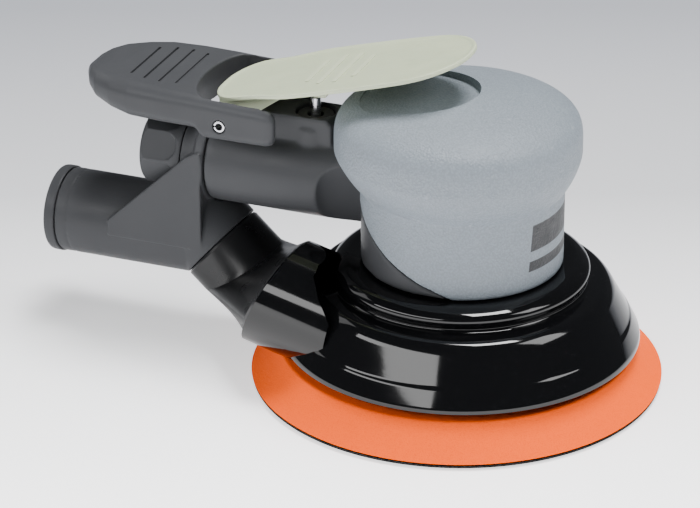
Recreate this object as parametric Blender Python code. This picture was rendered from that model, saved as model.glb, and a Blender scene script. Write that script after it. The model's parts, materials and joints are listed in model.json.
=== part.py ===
"""Air-driven random orbital palm sander with its own dust extraction.

Frame: +Z up, the motor axis is Z, z = 0 is the working face of the pad and the
handle points along -X. All values are metres.
"""

import math

import bmesh
import bpy
from mathutils import Matrix, Vector

MM = 0.001
GAP = 0.3 * MM                      # clearance between pieces that touch in the real tool

# ---- driving dimensions ----------------------------------------------------------
PAD_R = 63.5 * MM                   # 127 mm (5 inch) sanding pad
PAD_TOP_R = 54.8 * MM
PAD_TOP_Z = 11.2 * MM
HOOK_THICK = 1.0 * MM
ORBIT_R = 1.2 * MM                  # half of the 2.4 mm orbit
PAD_CENTRE = Vector((-ORBIT_R, 0, 0))
HOLE_COUNT = 5
HOLE_R = 4.6 * MM
HOLE_CIRCLE_R = 40.0 * MM

LIP_R = 55.25 * MM
LIP_Z = 13.8 * MM
PORT_CENTRE = Vector((-51.85, -21.2, 27.9)) * MM
PORT_AXIS = Vector((0.97, -0.12, -0.18)).normalized()
PORT_FACE = Vector((0.894, -0.12, -0.431)).normalized()
PORT_R = 17.9 * MM
PORT_BORE_R = 13.4 * MM
PORT_RELIEF_Y = -13.0               # mm, the port's outer side is set back from the flange up to here

HOUSING_R = 28.6 * MM
HOUSING_BORE_R = 25.5 * MM
HOUSING_BOTTOM_Z = 33.3 * MM
HOUSING_CEILING_Z = 82.8 * MM
HOUSING_TOP_Z = 85.0 * MM
HANDLE_Z = 60.0 * MM
HANDLE_R = 13.6 * MM
HANDLE_END_X = -79.7 * MM
HANDLE_BORE_R = 7.0 * MM

NECK_R = 31.1 * MM
HEAD_R = 37.5 * MM
HEAD_X = -1.45 * MM
HEAD_MID_Z = 75.4 * MM
HEAD_RISE = 18.4 * MM

PIN_X = -71.0 * MM
PIN_Z = 79.3 * MM
PIN_HOLE_R = 2.15                   # mm, in the lug, the lever's ears and the palm rest
LEVER_SLOPE = 0.273
LEVER_THICK = 1.4 * MM
LEVER_Z_AT_PIN = 87.0 * MM
STEM_X = -47.6 * MM

SADDLE_HALF = 20.8 * MM
ARM_GAP_HALF = 18.3 * MM

COLLAR_R = 14.0 * MM                # clamp ring of the exhaust body on the handle's end
DUCT_Z = 33.0 * MM                  # axis of the dust outlet, straight below the handle
DUCT_R = 13.3 * MM
DUCT_BORE_R = 11.3 * MM
DUCT_END_X = -131.5 * MM
ELBOW_START = Vector((-79.8, 0, 30.5)) * MM
ELBOW_DIR = Vector((0.753, -0.05, -0.656)).normalized()
ELBOW_END = Vector((-51.35, -21.2, 29.0)) * MM
ELBOW_R = 14.0 * MM
ELBOW_END_R = 17.2 * MM
ELBOW_END_BORE_R = 13.0 * MM
ELBOW_MITRE = 10.0 * MM             # length of the elbow's first leg along its axis
ELBOW_FOLD = Vector((0.558, 0.021, -0.83)).normalized()

SHAFT_R = 6.0 * MM
ROTOR_R = 17.6 * MM
ROTOR_Z = (46.6 * MM, 71.7 * MM)
CYLINDER_R = 25.2 * MM
CYLINDER_BORE_R = 20.0 * MM
CYLINDER_OFFSET = 2.0 * MM
CYLINDER_Z = (46.3 * MM, 72.0 * MM)
VANE_COUNT = 5
VANE_THICK = 1.8 * MM

FINE = 48                           # facets round a large turned piece
MEDIUM = 32
SMALL = 16

AXIS_X = Matrix.Rotation(math.radians(90), 4, "Y")
AXIS_Y = Matrix.Rotation(math.radians(-90), 4, "X")


# ---- scene and materials -----------------------------------------------------------
def clear_scene():
    for obj in list(bpy.data.objects):
        bpy.data.objects.remove(obj, do_unlink=True)


def material(name, colour, roughness, metallic=0.0):
    made = bpy.data.materials.get(name)
    if made is None:
        made = bpy.data.materials.new(name)
        made.use_nodes = True
        shader = made.node_tree.nodes["Principled BSDF"]
        shader.inputs["Base Color"].default_value = (*colour, 1)
        shader.inputs["Roughness"].default_value = roughness
        shader.inputs["Metallic"].default_value = metallic
    return made


BLACK_SATIN = ("black_composite", (0.030, 0.031, 0.033), 0.5)
BLACK_GLOSS = ("gloss_shroud", (0.006, 0.006, 0.007), 0.12)
GREY_GRIP = ("grey_grip", (0.30, 0.335, 0.37), 0.6)
CREAM = ("cream_lever", (0.66, 0.70, 0.56), 0.45)
ORANGE = ("orange_foam", (0.85, 0.15, 0.03), 0.8)
HOOK = ("black_hook", (0.012, 0.012, 0.012), 0.95)
FIBRE = ("fibre_plate", (0.55, 0.50, 0.36), 0.6)
STEEL = ("steel", (0.62, 0.62, 0.63), 0.3, 1.0)
ALUMINIUM = ("aluminium", (0.72, 0.73, 0.74), 0.4, 1.0)
BRASS = ("brass", (0.72, 0.53, 0.24), 0.35, 1.0)
RUBBER = ("rubber", (0.015, 0.015, 0.015), 0.7)
VANE = ("vane_laminate", (0.17, 0.085, 0.04), 0.6)
FELT = ("felt", (0.34, 0.34, 0.32), 0.95)


# ---- building blocks -----------------------------------------------------------------
def object_from(name, shape, look=None, smooth_deg=35):
    """A scene object from a bmesh, which is freed. Without a look it is a cutter or a union tool."""
    bmesh.ops.recalc_face_normals(shape, faces=shape.faces)
    if shape.calc_volume(signed=True) < 0:
        bmesh.ops.reverse_faces(shape, faces=shape.faces)
    mesh = bpy.data.meshes.new(name)
    shape.to_mesh(mesh)
    shape.free()
    obj = bpy.data.objects.new(name, mesh)
    bpy.context.scene.collection.objects.link(obj)
    if look is None:
        obj.hide_render = True
        obj.display_type = "WIRE"
    else:
        mesh.materials.append(material(*look))
        mesh.shade_smooth()
        mesh.set_sharp_from_angle(angle=math.radians(smooth_deg))
    return obj


def turned(profile, steps=MEDIUM, centre=(0, 0, 0), turn=None):
    """A closed (radius, height) outline in mm spun round Z, then turned and moved into place."""
    shape = bmesh.new()
    points = [shape.verts.new((r * MM, 0, z * MM)) for r, z in profile]
    edges = [shape.edges.new(pair) for pair in zip(points, points[1:])]
    if profile[0][0] > 0:
        edges.append(shape.edges.new((points[-1], points[0])))
    bmesh.ops.spin(
        shape, geom=points + edges, cent=(0, 0, 0), axis=(0, 0, 1), dvec=(0, 0, 0),
        angle=2 * math.pi, steps=steps, use_merge=False, use_duplicate=False,
    )
    bmesh.ops.remove_doubles(shape, verts=shape.verts, dist=1e-6)
    place(shape, centre, turn)
    return shape


def place(shape, centre=(0, 0, 0), turn=None):
    where = Matrix.Translation(Vector(centre)) @ (turn if turn else Matrix.Identity(4))
    bmesh.ops.transform(shape, matrix=where, verts=shape.verts)


def prism(outline, low, high, axis="z"):
    """An outline (mm) extruded from low to high (mm) along z, or an x-z outline along y."""
    shape = bmesh.new()
    if axis == "z":
        base = [(u * MM, v * MM, low * MM) for u, v in outline]
        step = Vector((0, 0, (high - low) * MM))
    else:
        base = [(u * MM, low * MM, v * MM) for u, v in outline]
        step = Vector((0, (high - low) * MM, 0))
    face = shape.faces.new([shape.verts.new(point) for point in base])
    grown = bmesh.ops.extrude_face_region(shape, geom=[face])
    moved = [item for item in grown["geom"] if isinstance(item, bmesh.types.BMVert)]
    bmesh.ops.translate(shape, verts=moved, vec=step)
    return shape


def box(low, high):
    """A box between two corners in mm."""
    (x0, y0, z0), (x1, y1, z1) = low, high
    return prism([(x0, y0), (x1, y0), (x1, y1), (x0, y1)], z0, z1)


def rod(radius, start, end, steps=MEDIUM):
    """A plain cylinder between two points, all in mm."""
    start, end = Vector(start), Vector(end)
    length = (end - start).length
    turn = (end - start).to_track_quat("Z", "Y").to_matrix().to_4x4()
    return turned([(0, 0), (radius, 0), (radius, length), (0, length)], steps, start * MM, turn)


def lofted(rings):
    """A solid through rings of points that match one to one, with flat ends."""
    shape = bmesh.new()
    rows = [[shape.verts.new(point) for point in ring] for ring in rings]
    for row, following in zip(rows, rows[1:]):
        for i in range(len(row)):
            j = (i + 1) % len(row)
            shape.faces.new((row[i], row[j], following[j], following[i]))
    shape.faces.new(rows[0])
    shape.faces.new(rows[-1])
    return shape


def pipe_through(outer, inner):
    """An open-ended pipe wall from matching outer and inner rings."""
    shape = bmesh.new()
    skins = [[[shape.verts.new(p) for p in ring] for ring in side] for side in (outer, inner)]
    for rows in skins:
        for row, following in zip(rows, rows[1:]):
            for i in range(len(row)):
                j = (i + 1) % len(row)
                shape.faces.new((row[i], row[j], following[j], following[i]))
    for end in (0, -1):
        wall, bore = skins[0][end], skins[1][end]
        for i in range(len(wall)):
            j = (i + 1) % len(wall)
            shape.faces.new((wall[i], wall[j], bore[j], bore[i]))
    return shape


def boolean(target, tool, operation="DIFFERENCE"):
    modifier = target.modifiers.new(tool.name, "BOOLEAN")
    modifier.operation = operation
    modifier.object = tool
    modifier.solver = "EXACT"


def cut(target, name, shape):
    boolean(target, object_from(name, shape))


def add(target, name, shape):
    boolean(target, object_from(name, shape), "UNION")


def joint_empty(name, location):
    empty = bpy.data.objects.new(name, None)
    empty.location = location
    bpy.context.scene.collection.objects.link(empty)
    return empty


def hang_on(parent, pieces):
    for piece in pieces:
        piece.parent = parent
        piece.matrix_parent_inverse = Matrix.Translation(-parent.location)


def circle(radius, count, centre=(0, 0)):
    return [
        (centre[0] + radius * math.cos(2 * math.pi * i / count),
         centre[1] + radius * math.sin(2 * math.pi * i / count))
        for i in range(count)
    ]


def in_mm(value):
    return value / MM


# ---- sanding pad ------------------------------------------------------------------
def pad_holes(name):
    """The dust holes that run through every layer of the pad."""
    holes = bmesh.new()
    for i in range(HOLE_COUNT):
        angle = 2 * math.pi * (i + 0.5) / HOLE_COUNT
        spot = (HOLE_CIRCLE_R * math.cos(angle), HOLE_CIRCLE_R * math.sin(angle))
        hole = prism(circle(in_mm(HOLE_R), SMALL, (in_mm(spot[0]), in_mm(spot[1]))), -2, 15)
        mesh = bpy.data.meshes.new(name)
        hole.to_mesh(mesh)
        hole.free()
        holes.from_mesh(mesh)
        bpy.data.meshes.remove(mesh)
    place(holes, PAD_CENTRE)
    return object_from(name, holes)


def sanding_pad():
    holes = pad_holes("pad_hole_cutter")
    radius, hook = in_mm(PAD_R), in_mm(HOOK_THICK)
    face = turned([(0, 0), (radius - 0.5, 0), (radius - 0.2, hook), (0, hook)], FINE, PAD_CENTRE)
    hook_face = object_from("pad_hook_face", face, HOOK)

    low, top, top_r = hook + in_mm(GAP), in_mm(PAD_TOP_Z), in_mm(PAD_TOP_R)
    bore = 6.0
    side = []
    for i in range(6):
        share = i / 5
        bulge = 0.9 * math.sin(math.pi * share)
        side.append((radius + (top_r - radius) * share - bulge, low + (top - low) * share))
    foam = turned([(bore, top), (bore, low)] + side, FINE, PAD_CENTRE)
    pad_foam = object_from("pad_foam", foam, ORANGE)

    plate = turned(
        [(9.6, 11.5), (49.2, 11.5), (50.0, 12.2), (49.6, 13.2), (12.5, 13.2), (9.6, 12.6)],
        FINE, PAD_CENTRE,
    )
    backing = object_from("pad_backing_plate", plate, FIBRE)
    for layer in (hook_face, pad_foam, backing):
        boolean(layer, holes)

    stud = turned(
        [(0, 8.4), (5.4, 8.4), (5.4, 11.2), (9.0, 11.6), (9.0, 14.4), (3.9, 14.4), (3.9, 25.4),
         (3.2, 26), (0, 26)],
        SMALL, PAD_CENTRE,
    )
    pad_stud = object_from("pad_stud", stud, STEEL)
    return [hook_face, pad_foam, backing, pad_stud]


# ---- spindle that carries the pad -----------------------------------------------------
def spindle_set():
    spindle = object_from("spindle", turned(
        [(0, 27.0), (4.25, 27.0), (4.25, 14.8), (10.2, 14.8), (10.2, 18.2), (7.5, 18.2), (7.5, 30.6),
         (6.5, 31.2), (0, 31.2)],
        24, PAD_CENTRE), STEEL)
    for sign in (-1, 1):
        flat = box((-12, sign * 8.6, 14.0), (12, sign * 12, 17.6))
        place(flat, PAD_CENTRE)
        cut(spindle, f"wrench_flat_{sign}", flat)
    inner = bearing_race("spindle_bearing_inner_race", 7.8, 10.1, 18.5, 29.9, PAD_CENTRE, False)
    return [spindle, inner]


def bearing_race(name, inner_r, outer_r, low, high, centre=(0, 0, 0), outer=True):
    """A bearing race with the ball groove on the side that faces the other race."""
    middle, depth, reach = (low + high) / 2, 0.55, min(2.2, (high - low) / 4)
    if outer:
        outline = [(inner_r, low), (outer_r, low), (outer_r, high), (inner_r, high),
                   (inner_r, middle + reach), (inner_r + depth, middle), (inner_r, middle - reach)]
    else:
        outline = [(inner_r, low), (outer_r, low), (outer_r, middle - reach), (outer_r - depth, middle),
                   (outer_r, middle + reach), (outer_r, high), (inner_r, high)]
    return object_from(name, turned(outline, 22, centre), STEEL)


def snap_ring(name, inner_r, outer_r, low, high, centre=(0, 0, 0)):
    """An open retaining ring."""
    ring = object_from(name, turned(
        [(inner_r, low), (outer_r, low), (outer_r, high), (inner_r, high)], 24, centre), STEEL)
    opening = box((outer_r / 2, -1.6, low - 1), (outer_r + 3, 1.6, high + 1))
    place(opening, centre)
    cut(ring, name + "_opening", opening)
    return ring


# ---- air motor ---------------------------------------------------------------------
def shaft_balancer():
    shaft = object_from("shaft_balancer", turned(
        [(0, 32.2), (8.0, 32.2), (8.0, 35.0), (6.0, 35.0), (6.0, 79.85), (5.2, 79.85), (5.2, 81.05),
         (6.0, 81.05), (6.0, 81.6), (5.5, 82.1), (0, 82.1)], 32), STEEL)
    cup = turned([(0, 16.8), (17.2, 16.8), (17.2, 34.0), (0, 34.0)], 32, PAD_CENTRE)
    add(shaft, "balancer_cup", cup)
    reach, spread, count = 33.5, math.radians(62), 12
    arc = [(reach * math.cos(a), reach * math.sin(a))
           for a in (spread * (2 * i / count - 1) for i in range(count + 1))]
    add(shaft, "counterweight", prism([(4.0, 13.0), (4.0, -13.0)] + arc, 20.0, 28.0))
    seat = turned([(0, 10), (14.5, 10), (14.5, 31.6), (0, 31.6)], 32, PAD_CENTRE)
    cut(shaft, "spindle_bearing_seat", seat)
    cut(shaft, "shaft_keyway", box((4.2, -1.5, 54.7), (8.0, 1.5, 63.3)))
    return shaft


def rotor():
    low, high = in_mm(ROTOR_Z[0]), in_mm(ROTOR_Z[1])
    bore = in_mm(SHAFT_R) + 0.3
    body = object_from("rotor", turned(
        [(bore, low), (in_mm(ROTOR_R), low), (in_mm(ROTOR_R), high), (bore, high)], MEDIUM), STEEL)
    cut(body, "rotor_keyway", box((5.0, -1.5, low - 1), (7.9, 1.5, high + 1)))
    for i in range(VANE_COUNT):
        slot = box((8.7, -1.2, low - 1), (22, 1.2, high + 1))
        place(slot, turn=vane_turn(i))
        cut(body, f"vane_slot_{i + 1}", slot)
    return body


def vane_turn(index):
    return Matrix.Rotation(2 * math.pi * (index + 0.5) / VANE_COUNT, 4, "Z")


def vanes():
    made = []
    half = in_mm(VANE_THICK) / 2
    for i in range(VANE_COUNT):
        blade = box((9.0, -half, 47.0), (17.5, half, 71.3))
        place(blade, turn=vane_turn(i))
        made.append(object_from(f"rotor_vane_{i + 1}", blade, VANE))
    return made


def motor_shell():
    low, high = in_mm(CYLINDER_Z[0]), in_mm(CYLINDER_Z[1])
    cylinder = object_from("motor_cylinder", rod(in_mm(CYLINDER_R), (0, 0, low), (0, 0, high), 40), STEEL)
    offset = in_mm(CYLINDER_OFFSET)
    cut(cylinder, "cylinder_bore", rod(
        in_mm(CYLINDER_BORE_R), (0, offset, low - 1), (0, offset, high + 1), 40))
    cut(cylinder, "cylinder_inlet", rod(3.0, (-30, 0, 66.3), (-10, 0, 66.3), SMALL))
    for z in (54.0, 60.0):
        cut(cylinder, f"cylinder_exhaust_{int(z)}", rod(2.2, (10, 4, z), (30, 4, z), 12))

    front = object_from("front_end_plate", turned(
        [(7.0, 46.0), (7.0, 42.0), (13.1, 42.0), (13.1, 35.2), (15.8, 35.2), (15.8, 41.0), (25.2, 41.0),
         (25.2, 46.0)], MEDIUM), ALUMINIUM)
    rear = object_from("rear_end_plate", turned(
        [(7.0, 72.3), (25.2, 72.3), (25.2, 77.0), (15.8, 77.0), (15.8, 80.2), (13.1, 80.2), (13.1, 73.6),
         (7.0, 73.6)], MEDIUM), ALUMINIUM)
    for target in (front, cylinder, rear):
        cut(target, target.name + "_dowel_hole", rod(1.5, (0, -22.0, 42.6), (0, -22.0, 76), 12))
    dowel = object_from("cylinder_dowel_pin", rod(1.2, (0, -22.0, 43.0), (0, -22.0, 75.6), 12), STEEL)

    seal = object_from("dust_seal", turned(
        [(16.2, 35.2), (25.1, 35.2), (25.1, 36.5), (16.2, 36.5)], MEDIUM), FELT)
    lock = object_from("lock_ring", turned(
        [(16.3, 36.9), (25.1, 36.9), (25.1, 40.6), (16.3, 40.6)], MEDIUM), ALUMINIUM)
    for i in range(4):
        notch = box((14, -1.6, 36.0), (20.0, 1.6, 38.4))
        place(notch, turn=Matrix.Rotation(math.radians(90 * i + 45), 4, "Z"))
        cut(lock, f"spanner_notch_{i + 1}", notch)
    return [cylinder, front, rear, dowel, seal, lock]


# ---- housing with its handle -------------------------------------------------------
SKIRT_EDGE = [
    (9.6, 38.0), (9.0, 39.5), (-3.3, 43.6), (-12.1, 47.6), (-19.4, 51.9), (-25.4, 56.6),
    (-29.8, 62.6), (-33.6, 69.8), (-36.2, 76.6),
]


def skirt_region(inset=0.0, far=-60.0, top=77.4):
    """The part of the side view, left of and below the grip cover's edge, that stays uncovered."""
    edge = [(x - inset, z - inset * 0.6) for x, z in SKIRT_EDGE]
    return edge + [(edge[-1][0] - 2.5, top - inset), (far, top - inset), (far, 30.0)] + [
        (edge[0][0], 30.0)]


def housing():
    wall, low, top = in_mm(HOUSING_R), in_mm(HOUSING_BOTTOM_Z), in_mm(HOUSING_TOP_Z)
    body = object_from("housing", turned(
        [(0, low), (wall, low), (wall, top - 1.6), (wall - 0.4, top - 0.7), (wall - 1.4, top), (0, top)],
        FINE), BLACK_SATIN)
    flush = object_from("flush_band", rod(30.7, (0, 0, 39.6), (0, 0, 62.0), FINE))
    boolean(flush, object_from("flush_region", prism(skirt_region(0.45), -45, 45, "y")), "INTERSECT")
    boolean(body, flush, "UNION")

    end_x = in_mm(HANDLE_END_X)
    tube = object_from("handle_tube", turned(
        [(0, 0), (12.9, 0), (13.6, 0.8), (13.6, -end_x - 20), (0, -end_x - 20)],
        MEDIUM, (HANDLE_END_X, 0, HANDLE_Z), AXIS_X))
    for sign in (-1, 1):
        scoop = turned([(0, -30), (1, -30), (1, 30), (0, 30)], 32)
        bmesh.ops.scale(scoop, vec=(14.0, 6.5, 1), verts=scoop.verts)
        place(scoop, Vector((-28.5, sign * 14.5, 61)) * MM, Matrix.Rotation(sign * -0.29, 4, "X"))
        cut(tube, f"handle_scoop_{sign}", scoop)
    boolean(body, tube, "UNION")
    add(body, "valve_boss", turned(
        [(0, 62), (8.4, 62), (7.7, 76.4), (7.2, 77.0), (0, 77.0)], 28, (STEM_X, 0, 0)))
    add(body, "valve_block", prism(block_outline(), -7.0, 7.0, "y"))
    add(body, "pin_lug", prism(lug_outline(), -7.2, 7.2, "y"))
    add(body, "saddle_rail", box((-77.0, -6.6, 66), (-54.0, 6.6, 74.6)))

    cut(body, "motor_bore", rod(in_mm(HOUSING_BORE_R), (0, 0, 25), (0, 0, in_mm(HOUSING_CEILING_Z)), 44))
    cut(body, "handle_bore", rod(in_mm(HANDLE_BORE_R), (-90, 0, 60), (-64, 0, 60), 24))
    cut(body, "valve_chamber", turned([(0, 53.6), (5.4, 53.6), (5.4, 69.3), (5.0, 69.3), (5.0, 77.1),
                                       (6.2, 77.1), (6.2, 90), (0, 90)], 24, (STEM_X, 0, 0)))
    cut(body, "inlet_passage", rod(2.8, (-66, 0, 57), (-50, 0, 57), 16))
    cut(body, "feed_passage", rod(2.7, (-45, 0, 66.3), (-24, 0, 66.3), 16))
    cut(body, "exhaust_passage", rod(2.2, (-90, 0, 49.8), (-24, 0, 49.8), 16))
    pin_x, pin_z = in_mm(PIN_X), in_mm(PIN_Z)
    cut(body, "lug_pin_hole", rod(PIN_HOLE_R, (pin_x, -30, pin_z), (pin_x, 30, pin_z), 16))
    return body


def block_outline():
    """Side view of the block round the throttle valve, between the lever's ears."""
    return [(-65.0, 66), (-39.8, 66), (-39.8, 78.6), (-41.4, 80.4), (-63.0, 80.4), (-65.0, 78.6)]


def lug_outline():
    """Side view of the lug that holds the lever pin."""
    x, z, r = in_mm(PIN_X), in_mm(PIN_Z), 3.5
    over = [(x + r * math.cos(a), z + r * math.sin(a)) for a in (math.pi * i / 8 for i in range(9))]
    return over + [(x - r - 1.0, 68), (x + r + 3.0, 68)]


# ---- grip cover ---------------------------------------------------------------------
def grip_boot():
    """The soft cover: a domed head that overhangs a neck, cut away on the handle side."""
    neck, head, mid = in_mm(NECK_R), in_mm(HEAD_R), in_mm(HEAD_MID_Z)
    levels = [(neck - 0.4, 39.2, 0.0), (neck, 39.7, 0.0), (neck, 52.0, 0.0)]
    under, under_power = 11.2, 1.25
    for i in range(6):
        t = math.pi / 2 * (1 - i / 6)
        rise = 1 - math.sin(t) ** (2 / under_power)
        radius = neck + (head - neck) * math.cos(t) ** (2 / under_power)
        levels.append((radius, mid - under + under * rise, rise))
    crown_radii = [1.0, 0.985, 0.955, 0.91, 0.84, 0.74, 0.60, 0.40, 0.18]
    for share in crown_radii:
        rise = (1 - share ** 1.35) ** 0.2
        levels.append((head * share, mid + in_mm(HEAD_RISE) * rise, 1.0))
    rings = [
        [Vector((in_mm(HEAD_X) * shift + x, y, z)) * MM for x, y in circle(radius, FINE)]
        for radius, z, shift in levels
    ]
    cover = object_from("grip_boot", lofted(rings), GREY_GRIP)
    cut(cover, "boot_cavity", turned(
        [(0, 30), (28.9, 30), (28.9, 83.8), (27.6, 85.3), (0, 85.3)], 44))
    cut(cover, "boot_side_cut", prism(skirt_region(), -60, 60, "y"))
    handle_z = in_mm(HANDLE_Z)
    cut(cover, "handle_arch", rod(in_mm(HANDLE_R + GAP) + 0.1, (-60, 0, handle_z), (-15, 0, handle_z), 36))
    cut(cover, "lever_recess", lever_recess())
    return cover


RECESS_OUTLINE = [
    (4.8, 0), (4.2, 4.0), (2.6, 8.0), (0.0, 11.5), (-3.8, 14.6), (-8.5, 16.9), (-14.0, 18.1), (-20.0, 18.1),
    (-25.0, 16.2), (-28.4, 12.2), (-30.4, 7.0), (-31.0, 0),
]


def lever_recess():
    """A shallow egg-shaped pocket in the crown, under the tip of the lever."""
    edge = RECESS_OUTLINE + [(x, -y) for x, y in RECESS_OUTLINE[-2:0:-1]]
    low = [Vector((x, y, 90.3 + 0.028 * (x - 6))) * MM for x, y in edge]
    high = [Vector((point.x, point.y, 0.100)) for point in low]
    return lofted([low, high])


# ---- throttle lever ------------------------------------------------------------------
LEVER_OUTLINE = [
    (-77.8, 3.4), (-77.0, 7.4), (-75.2, 11.3), (-72.4, 14.4), (-68.8, 15.9), (-62.0, 16.4),
    (-56.0, 18.1), (-50.0, 19.7), (-40.0, 20.2), (-25.0, 20.1), (-13.0, 19.1), (-6.5, 16.6),
    (-2.2, 12.9), (0.9, 8.2), (2.3, 3.1),
]


def lever_top(x):
    return in_mm(LEVER_Z_AT_PIN) + LEVER_SLOPE * (x - in_mm(PIN_X))


def throttle_lever():
    edge = LEVER_OUTLINE + [(x, -y) for x, y in reversed(LEVER_OUTLINE)]
    tilt = math.atan(LEVER_SLOPE)
    drop = Vector((math.sin(tilt), 0, -math.cos(tilt))) * LEVER_THICK
    upper = [Vector((x, y, lever_top(x))) * MM for x, y in edge]
    plate = object_from("throttle_lever", lofted([upper, [point + drop for point in upper]]), CREAM)
    x, z, r = in_mm(PIN_X), in_mm(PIN_Z), 3.9
    eye = [(x + r * math.cos(a), z + r * math.sin(a)) for a in
           (math.radians(v) for v in range(170, 341, 17))]
    ear = eye + [(-53.0, lever_top(-53) - 3.6), (-50.0, lever_top(-50) - 0.8),
                 (-75.2, lever_top(-75.2) - 0.8)]
    for sign in (-1, 1):
        near, far = sorted((sign * 7.7, sign * 10.4))
        add(plate, f"lever_ear_{sign}", prism(ear, near, far, "y"))
    rib = [(-60.0, lever_top(-60) - 0.8), (-58.0, 85.8), (-43.5, 85.8), (-38.0, lever_top(-38) - 0.8)]
    add(plate, "stem_rib", prism(rib, -2.6, 2.6, "y"))
    cut(plate, "lever_pin_hole", rod(PIN_HOLE_R, (x, -12, z), (x, 12, z), 16))
    return plate


def lever_pin():
    """A rolled spring pin with its slit."""
    start = (PIN_X, -(SADDLE_HALF - 0.2 * MM), PIN_Z)
    length = 2 * in_mm(SADDLE_HALF) - 0.4
    pin = object_from("lever_pin", turned(
        [(1.15, 0), (1.65, 0), (1.85, 0.4), (1.85, length - 0.4), (1.65, length), (1.15, length)],
        SMALL, start, AXIS_Y), STEEL)
    x, z = in_mm(PIN_X), in_mm(PIN_Z)
    cut(pin, "pin_slit", box((x - 3, -30, z - 0.3), (x - 0.6, 30, z + 0.3)))
    return pin


# ---- palm rest -----------------------------------------------------------------------
PALM_STATIONS = [
    # x, half width, bottom, top, corner radius
    (-53.4, 20.0, 76.0, 84.4, 1.5), (-54.2, 20.5, 74.8, 85.7, 2.0), (-56.0, 20.8, 74.0, 86.5, 2.4),
    (-66.0, 20.8, 74.0, 86.9, 2.4), (-77.2, 20.8, 74.0, 87.4, 2.6), (-79.4, 20.8, 76.8, 87.5, 2.6),
    (-92.0, 20.8, 76.8, 88.0, 3.0), (-102.0, 20.0, 76.8, 88.2, 3.6), (-109.0, 17.8, 77.4, 88.0, 4.2),
    (-115.0, 14.2, 78.4, 87.4, 4.0), (-118.2, 10.2, 79.8, 86.6, 3.2), (-120.4, 6.0, 81.2, 85.6, 2.0),
    (-121.0, 3.0, 82.4, 84.6, 1.0),
]


def rounded_section(x, half, low, high, radius, per_corner=3):
    """A rectangle with round corners in the plane at x, all in mm."""
    points = []
    for cy, cz, start in ((half - radius, high - radius, 0), (radius - half, high - radius, 90),
                          (radius - half, low + radius, 180), (half - radius, low + radius, 270)):
        for i in range(per_corner + 1):
            a = math.radians(start + 90 * i / per_corner)
            points.append(Vector((x, cy + radius * math.cos(a), cz + radius * math.sin(a))) * MM)
    return points


def palm_rest():
    rest = object_from("palm_rest", lofted([rounded_section(*row) for row in PALM_STATIONS]), BLACK_SATIN)
    half, back = in_mm(ARM_GAP_HALF), -75.5
    bend = [(back + 8.0 * math.cos(a), half * math.sin(a)) for a in
            (math.radians(90 + 180 * i / 12) for i in range(13))]
    cut(rest, "lever_opening", prism([(-40, -half), (-40, half)] + bend, 60, 100))
    x, z = in_mm(PIN_X), in_mm(PIN_Z)
    cut(rest, "palm_pin_hole", rod(PIN_HOLE_R, (x, -30, z), (x, 30, z), 16))
    return rest


# ---- throttle valve -------------------------------------------------------------------
def throttle_valve():
    where = (STEM_X, 0, 0)
    stem = object_from("valve_stem", turned(
        [(0, 61.2), (1.3, 61.2), (1.3, 68.0), (1.6, 68.4), (1.6, 73.2), (1.1, 73.2), (1.1, 75.0), (1.6, 75.0),
         (1.6, 84.6), (1.2, 85.2), (0, 85.3)], SMALL, where), STEEL)
    o_ring = ring_seal("valve_stem_o_ring", 1.75, 0.45, 74.1, where)
    bushing = object_from("valve_bushing", turned(
        [(2.5, 70.0), (4.7, 70.0), (4.7, 77.3), (5.8, 77.3), (5.8, 79.2), (2.5, 79.2)], 24, where), BRASS)
    seat = object_from("valve_seat", turned(
        [(2.4, 61.5), (5.1, 61.5), (5.1, 63.4), (2.4, 63.4)], 24, where), BRASS)
    poppet = object_from("valve_poppet", turned(
        [(0, 58.9), (3.9, 58.9), (3.9, 60.1), (3.0, 60.9), (0, 60.9)], SMALL, where), RUBBER)
    return stem, o_ring, bushing, seat, poppet, valve_spring()


def valve_spring():
    """A coil of round wire between the chamber floor and the poppet."""
    curve = bpy.data.curves.new("valve_spring", "CURVE")
    curve.dimensions = "3D"
    curve.bevel_depth = 0.35 * MM
    curve.bevel_resolution = 1
    curve.use_fill_caps = True
    turns, per_turn, radius = 3.5, 12, 3.2 * MM
    low, high = 54.3 * MM, 58.2 * MM
    count = int(turns * per_turn)
    line = curve.splines.new("POLY")
    line.points.add(count)
    for i in range(count + 1):
        angle = 2 * math.pi * i / per_turn
        z = low + (high - low) * i / count
        line.points[i].co = (radius * math.cos(angle), radius * math.sin(angle), z, 1)
    spring = bpy.data.objects.new("valve_spring", curve)
    spring.location = (STEM_X, 0, 0)
    curve.materials.append(material(*STEEL))
    bpy.context.scene.collection.objects.link(spring)
    return spring


def ring_seal(name, radius, wire, z, centre=(0, 0, 0), turn=None, steps=24):
    """An O-ring of round section."""
    section = [(radius + wire * math.cos(a), z + wire * math.sin(a)) for a in
               (2 * math.pi * i / 8 for i in range(8))]
    return object_from(name, turned(section, steps, centre, turn), RUBBER)


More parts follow.
